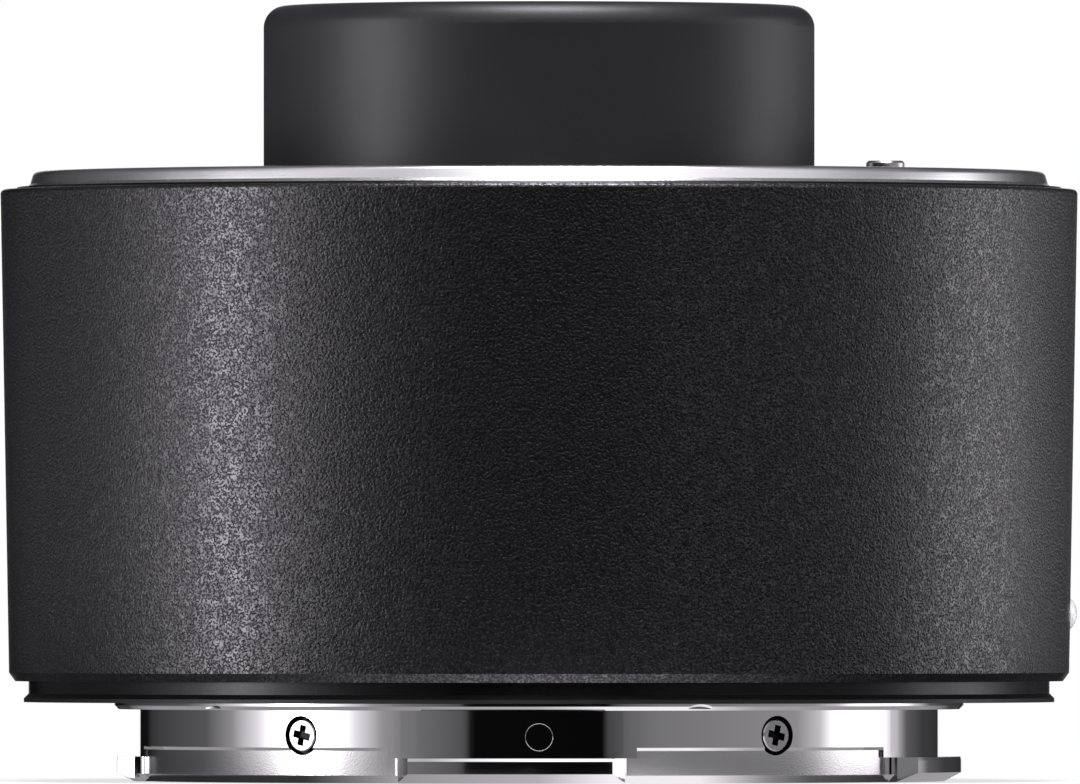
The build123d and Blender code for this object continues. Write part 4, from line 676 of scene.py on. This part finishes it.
def even_shading(piece, sharp=10):
    """Smooth shading with creases above an angle, led by the larger faces."""
    piece.data.shade_smooth()
    piece.data.set_sharp_from_angle(angle=math.radians(sharp))
    weighted = piece.modifiers.new("shading", "WEIGHTED_NORMAL")
    weighted.keep_sharp = True
    weighted.weight = 100


def direction_at(azimuth):
    """Unit vector that points away from the optical axis."""
    return Vector((math.cos(math.radians(azimuth)), math.sin(math.radians(azimuth)), 0))


def azimuths_between(low, high):
    """Evenly spaced azimuths from low to high, both included."""
    count = max(1, math.ceil((high - low) / STEP))
    return [low + (high - low) * k / count for k in range(count + 1)]


# %% [markdown]
# ### Camera-side bayonet
#
# From the camera end up: the tube with its four tabs, the land that meets the camera, and the wide
# flange that takes five countersunk screws. A tab has a bevel towards the camera, a small chamfer on
# top and a corner cut off at each end. Between the tabs the tube is milled 0.2 mm deeper, with a
# small radius at the tabs' feet, and a little further from the tabs the milling goes higher up,
# under a sloping roof.

# %% Bayonet mesh
# Centre and width of each tab in degrees. MILLED_END is in degrees too, TAB_TOP_SLOPE is a rise over
# a reach, and the other sizes are in mm
TABS = ((-94, 32), (-5, 48), (86, 32), (175, 24))
NEXT_TABS = TABS[1:] + ((TABS[0][0] + 360, TABS[0][1]),)
TUBE, BORE, TAB, MILLED = 25.75, 24.0, 27.25, 25.55
TAB_TOP, TAB_BEVEL, TAB_BEVEL_RISE, CORNER = 1.6, 26.15, 0.6, 1.0
TAB_TOP_CUT, TAB_TOP_SLOPE = 0.045, 4.5
MILLED_HIGH, MILLED_ROUND, MILLED_EDGE, MILLED_END = 2.07, 0.5, 0.5, 2.0
FACE, LAND, LAND_CUT, SEAT, FLANGE, FLANGE_CUT, FLANGE_TOP = 4.65, 27.4, 0.25, 5.25, 31.6, 0.2, 6.75
MOUTH_CUT = 0.3
ROUND_STEPS = 12


def bayonet_section(foot, edge, top_out, top_in, over):
    """One section: points of the tube's foot up to the tab's top, then the land, flange and bore."""
    return (
        foot,
        edge,
        top_out,
        top_in,
        (over, TAB_TOP),
        (over, MILLED_HIGH),
        (TUBE, MILLED_HIGH + TUBE - over),
        (TUBE, FACE),
        (LAND - LAND_CUT, FACE),
        (LAND, FACE + LAND_CUT),
        (LAND, SEAT),
        (FLANGE - FLANGE_CUT, SEAT),
        (FLANGE, SEAT + FLANGE_CUT),
        (FLANGE, FLANGE_TOP),
        (BORE, FLANGE_TOP),
        (BORE, MOUTH_CUT),
        (BORE + MOUTH_CUT, 0),
    )


def tab_section(radius):
    """Section through a tab that reaches out to a radius."""
    bevel = TAB_BEVEL_RISE * max(0, radius - TAB_BEVEL) / (TAB - TAB_BEVEL)
    inner = min(radius, TAB - TAB_TOP_CUT)
    shoulder = TAB_TOP - TAB_TOP_SLOPE * (radius - inner)
    foot = (min(radius, TAB_BEVEL), 0)
    return bayonet_section(foot, (radius, bevel), (radius, shoulder), (inner, TAB_TOP), TUBE)


def gap_section(radius, tall):
    """Section through a milled gap at a radius, taller than the tabs or not."""
    over = radius if tall else TUBE
    return bayonet_section(
        (radius - MILLED_EDGE, 0), (radius, MILLED_EDGE), (radius, TAB_TOP), (radius, TAB_TOP), over
    )


corner_turn = math.degrees(CORNER / TAB)
round_turn = math.degrees(MILLED_ROUND / MILLED)
rows = []
for (centre, width), (after, after_width) in zip(TABS, NEXT_TABS):
    start, stop = centre - width / 2, centre + width / 2
    rows.append((start, tab_section(TAB - CORNER)))
    rows += [(a, tab_section(TAB)) for a in azimuths_between(start + corner_turn, stop - corner_turn)]
    rows.append((stop, tab_section(TAB - CORNER)))
    close = after - after_width / 2
    shares = [k / ROUND_STEPS for k in range(ROUND_STEPS + 1)]
    hollow = [(t, MILLED + MILLED_ROUND * (1 - math.sqrt(1 - (1 - t) ** 2))) for t in shares]
    rows += [(stop + t * round_turn, gap_section(r, False)) for t, r in hollow]
    rows.append((stop + MILLED_END, gap_section(MILLED, False)))
    rows += [(a, gap_section(MILLED, True)) for a in azimuths_between(stop + MILLED_END, close - MILLED_END)]
    rows.append((close - MILLED_END, gap_section(MILLED, False)))
    rows += [(close - t * round_turn, gap_section(r, False)) for t, r in reversed(hollow)]

bayonet = turned_piece("bayonet_fine", rows)
# Screws and lock hole: azimuths in degrees, then radii and circles in mm. A plug starts a little
# outside the face it cuts and ends past the other one
MOUNT_SCREWS = (76.1, 148.1, 220.1, 292.1, 4.1)
MOUNT_HEAD, MOUNT_HOLE = 2.0, 1.15
LOCK_AZIMUTH, LOCK_CIRCLE, LOCK_HOLE = 40.1, 29.5, 1.4
REAR_SCREW_CIRCLE, REAR_DEPTH = 29.6, 3
OUTSIDE = 0.5
WALL_SEAT, WALL_HOLE, WALL_HOLE_DEPTH, WALL_HEAD, WALL_HEAD_REACH = 25.15, 0.75, 2.0, 1.25, 1.5
DOWEL_AZIMUTH, DOWEL_HEIGHT, DOWEL = -90, 2.95, 0.9
DOWEL_HOLE_START, DOWEL_HOLE_LENGTH = 22, 5


def spot_at(azimuth, circle, height):
    """Point on a circle round the axis, in mm."""
    return direction_at(azimuth) * circle + Vector((0, 0, height))


def countersink(azimuth, circle, height, along, depth):
    """Plug for a countersunk screw's hole."""
    cone = ((MOUNT_HEAD + OUTSIDE, -OUTSIDE), (MOUNT_HOLE, MOUNT_HEAD - MOUNT_HOLE), (MOUNT_HOLE, depth))
    return cutter(spot_at(azimuth, circle, height), along, cone)


up, down = (0, 0, 1), (0, 0, -1)
plugs = [countersink(a, REAR_SCREW_CIRCLE, SEAT, up, REAR_DEPTH) for a in MOUNT_SCREWS]
profile = ((LOCK_HOLE, -OUTSIDE), (LOCK_HOLE, REAR_DEPTH))
plugs.append(cutter(spot_at(LOCK_AZIMUTH, LOCK_CIRCLE, SEAT), up, profile))
profile = ((WALL_HOLE, -WALL_HOLE_DEPTH), (WALL_HOLE, 0), (WALL_HEAD, 0), (WALL_HEAD, WALL_HEAD_REACH))
for a in WALL_SCREWS:
    plugs.append(cutter(spot_at(a, WALL_SEAT, WALL_SCREW_HEIGHT), direction_at(a), profile))
profile = ((DOWEL, 0), (DOWEL, DOWEL_HOLE_LENGTH))
spot = spot_at(DOWEL_AZIMUTH, DOWEL_HOLE_START, DOWEL_HEIGHT)
plugs.append(cutter(spot, direction_at(DOWEL_AZIMUTH), profile))
pierce(bayonet, plugs)
even_shading(bayonet)
bayonet.data.materials.append(chrome)
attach(bayonet, "root")
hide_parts("rear_bayonet")
print("bayonet faces:", len(bayonet.data.polygons))

# %% Dowel
# A pin of 1.8 mm in the tube, with a thin rounded rim that shows as a fine ring
DOWEL_FACE, DOWEL_LENGTH, RIM, RIM_STEPS = 25.73, 2.28, 0.05, 4
turns = [math.pi / 2 * k / RIM_STEPS for k in range(RIM_STEPS + 1)]
rim = [(DOWEL - RIM + RIM * math.sin(t), -RIM + RIM * math.cos(t)) for t in turns]
spot = spot_at(DOWEL_AZIMUTH, DOWEL_FACE, DOWEL_HEIGHT)
profile = [(DOWEL, -DOWEL_LENGTH), *reversed(rim)]
dowel = keep(cutter(spot, direction_at(DOWEL_AZIMUTH), profile, sides=128), "dowel_fine")
even_shading(dowel, sharp=40)
dowel.data.materials.append(chrome)
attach(dowel, "root")
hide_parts("contact_block_dowel")

# %% [markdown]
# ### Lens-side mount ring
#
# The ring's outside rises straight, has a small sloping lip just over the trim ring, leans in a
# little and ends in a rounded edge that meets the flat face the lens rests on. Its throat has a
# chamfer, and four gaps that let the lens's tabs in.

# %% Mount ring mesh
RING_BOTTOM, RING_BASE, RING_BASE_TOP, RING, RING_TOP = 36.4, 33.6, 37.2, 32.85, 39.3
CONE_HEIGHT, CONE_WIDTH, ROUND = 0.9, 0.25, 0.45
LIP_TOP, LIP_LOW, LIP_WIDTH = 38.5, 38.31, 0.2
THROAT, WAY, WAY_MARGIN, LOCK_TURN = 25.8, 27.6, 2, 45

lean = math.atan2(CONE_WIDTH, CONE_HEIGHT)
round_height = RING_TOP - ROUND
round_radius = RING - CONE_WIDTH + ROUND * (math.tan(lean) - 1 / math.cos(lean))
turns = [lean + (math.pi / 2 - lean) * k / ROUND_STEPS for k in range(ROUND_STEPS + 1)]
edge = [(round_radius + ROUND * math.cos(t), round_height + ROUND * math.sin(t)) for t in turns]


def cone_radius(height):
    """Radius of the ring's leaning side at a height."""
    return RING - CONE_WIDTH * (height - RING_TOP + CONE_HEIGHT) / CONE_HEIGHT


def ring_section(inner):
    """Section through the mount ring with a throat radius."""
    cut = MOUTH_CUT if inner == THROAT else 0
    lip = [(RING, LIP_LOW), (cone_radius(LIP_TOP) + LIP_WIDTH, LIP_LOW), (cone_radius(LIP_TOP), LIP_TOP)]
    outside = [(RING_BASE, RING_BOTTOM), (RING_BASE, RING_BASE_TOP), (RING, RING_BASE_TOP)]
    return [(inner, RING_BOTTOM), *outside, *lip, *edge, (inner + cut, RING_TOP), (inner, RING_TOP - cut)]


rows = []
for (centre, width), (after, after_width) in zip(TABS, NEXT_TABS):
    start = centre - width / 2 - WAY_MARGIN + LOCK_TURN
    stop = centre + width / 2 + WAY_MARGIN + LOCK_TURN
    close = after - after_width / 2 - WAY_MARGIN + LOCK_TURN
    rows += [(a, ring_section(WAY)) for a in azimuths_between(start, stop)]
    rows += [(a, ring_section(THROAT)) for a in azimuths_between(stop, close)]

mount_ring = turned_piece("mount_ring_fine", rows)
FRONT_SCREW_CIRCLE, FRONT_DEPTH = 30.0, 4
LOCK_GUIDE, LOCK_GUIDE_START = 1.3, 1
plugs = [countersink(a, FRONT_SCREW_CIRCLE, RING_TOP, down, FRONT_DEPTH) for a in MOUNT_SCREWS]
profile = ((LOCK_GUIDE, -LOCK_GUIDE_START), (LOCK_GUIDE, FRONT_DEPTH))
plugs.append(cutter(spot_at(LOCK_AZIMUTH, LOCK_CIRCLE, RING_TOP), down, profile))
pierce(mount_ring, plugs)
even_shading(mount_ring)
mount_ring.data.materials.append(mount_steel)
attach(mount_ring, "root")
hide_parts("front_mount_ring")
print("mount ring faces:", len(mount_ring.data.polygons))

# %% Screws, springs and pins
screw_steel, tree, shader = finish("screw_steel", (0.66, 0.65, 0.64), metallic=1.0, roughness=0.25)
clouds = effect(tree, handling, Size=0.0009, Low=0.18, High=0.34)
fine = effect(tree, grain, Size=0.00011, Roughness=0.6, Contrast=1.5)
tree.links.new(clouds["Roughness"], shader.inputs["Roughness"])
tint(tree, shader, clouds["Mask"], (0.70, 0.69, 0.68), (0.56, 0.55, 0.54))
raise_surface(tree, shader, fine["Height"], 0.000004)
dress(
    screw_steel,
    "rear_mount_screws",
    "front_mount_screws",
    "small_pan_screws",
    "lens_barrel_screws",
    "cell_set_screws",
    "release_guide_screws",
    "lock_pin",
)

wall_steel, tree, shader = finish("wall_screw_steel", (0.66, 0.65, 0.64), metallic=1.0, roughness=0.25)
clouds = effect(tree, handling, Size=0.0009, Low=0.18, High=0.34)
fine = effect(tree, grain, Size=0.00011, Roughness=0.6, Contrast=1.5)
recess_shade = effect(tree, screw_hole_shade)
tree.links.new(clouds["Roughness"], shader.inputs["Roughness"])
# Painted shade: everything below the face of the screw heads, the cross recess included, is painted near
# black
tint(tree, shader, recess_shade["Recess"], (0.68, 0.67, 0.66), (0.015, 0.015, 0.015))
raise_surface(tree, shader, fine["Height"], 0.000004)
dress(wall_steel, "contact_block_screws")

spring_steel, tree, shader = finish("spring_steel", (0.52, 0.52, 0.53), metallic=1.0, roughness=0.3)
clouds = effect(tree, handling, Size=0.003, Low=0.24, High=0.38)
tree.links.new(clouds["Roughness"], shader.inputs["Roughness"])
tint(tree, shader, clouds["Mask"], (0.55, 0.55, 0.56), (0.46, 0.46, 0.48))
dress(spring_steel, "bayonet_spring", "lock_pin_spring", "contact_springs", "release_plate", "rear_shim")

black_screw, tree, shader = finish("screw_black", (0.025, 0.025, 0.026), metallic=0.6, roughness=0.35)
clouds = effect(tree, handling, Size=0.0008, Low=0.3, High=0.45)
tree.links.new(clouds["Roughness"], shader.inputs["Roughness"])
tint(tree, shader, clouds["Mask"], (0.02, 0.02, 0.021), (0.04, 0.04, 0.041))
dress(black_screw, "knob_screws")

gold, tree, shader = finish("contact_gold", (0.83, 0.62, 0.27), metallic=1.0, roughness=0.2)
clouds = effect(tree, handling, Size=0.0008, Low=0.14, High=0.3)
tree.links.new(clouds["Roughness"], shader.inputs["Roughness"])
tint(tree, shader, clouds["Mask"], (0.86, 0.66, 0.30), (0.78, 0.55, 0.22))
PINS = [name for name in nodes if name.startswith("contact_pin_")]
dress(gold, "rear_contact_pads", *PINS)

# %% [markdown]
# ## Rubber, plastic, enamel, boards and glass
#
# The seal is soft rubber, so it has no sharp highlight. The contact blocks are moulded plastic. The
# index bead is glossy enamel. The glass is clear, with a faint green tint that stands for its thin
# coatings.

# %% Other solids
rubber, tree, shader = finish("seal_rubber", (0.005, 0.005, 0.005), roughness=0.45)
fine = effect(tree, grain, Size=0.00018, Roughness=0.6, Contrast=1.5)
clouds = effect(tree, handling, Size=0.005, Low=0.4, High=0.52)
tree.links.new(clouds["Roughness"], shader.inputs["Roughness"])
raise_surface(tree, shader, fine["Height"], 0.000008)
dress(rubber, "seal_ring")

plastic, tree, shader = finish("block_plastic", (0.014, 0.014, 0.015), roughness=0.45)
fine = effect(tree, grain, Size=0.0002, Roughness=0.6, Contrast=1.6)
clouds = effect(tree, handling, Size=0.003, Low=0.4, High=0.5)
tree.links.new(clouds["Roughness"], shader.inputs["Roughness"])
raise_surface(tree, shader, fine["Height"], 0.000012)
dress(plastic, "rear_contact_block", "front_contact_block")

enamel, tree, shader = finish("index_white", (0.82, 0.82, 0.80), roughness=0.22, Coat_Weight=0.3)
clouds = effect(tree, handling, Size=0.0012, Low=0.18, High=0.3)
tree.links.new(clouds["Roughness"], shader.inputs["Roughness"])
tint(tree, shader, clouds["Mask"], (0.84, 0.84, 0.82), (0.78, 0.78, 0.75))
dress(enamel, "index_bead", "front_index_dot")

board, tree, shader = finish("board_green", (0.01, 0.09, 0.04), roughness=0.3)
marks = effect(tree, grain, Size=0.0012, Roughness=0.3, Contrast=6.0)
tint(tree, shader, marks["Mask"], (0.01, 0.09, 0.04), (0.02, 0.15, 0.07))
dress(board, "control_board")

film, tree, shader = finish("flex_amber", (0.42, 0.2, 0.04), roughness=0.3)
marks = effect(tree, grain, Size=0.0009, Roughness=0.3, Contrast=5.0)
tint(tree, shader, marks["Mask"], (0.42, 0.2, 0.04), (0.52, 0.28, 0.08))
dress(film, "front_flex", "rear_flex")

chips, tree, shader = finish("component_black", (0.03, 0.03, 0.032), roughness=0.5)
fine = effect(tree, grain, Size=0.0002, Roughness=0.6, Contrast=1.6)
raise_surface(tree, shader, fine["Height"], 0.00001)
dress(chips, "board_components")

alloy, tree, shader = finish("cast_alloy", (0.05, 0.05, 0.052), metallic=0.7, roughness=0.45)
fine = effect(tree, grain, Size=0.0004, Roughness=0.6, Contrast=1.6)
clouds = effect(tree, handling, Size=0.006, Low=0.4, High=0.55)
tree.links.new(clouds["Roughness"], shader.inputs["Roughness"])
raise_surface(tree, shader, fine["Height"], 0.00002)
dress(alloy, "chassis")

# %% Coated glass
GLASS_TINT = (0.93, 0.97, 0.95)
glass, tree, shader = finish("optical_glass", GLASS_TINT, roughness=0.0, Transmission_Weight=1.0, IOR=1.6)
dress(glass, *[f"glass_element_{i}" for i in range(1, 10)])
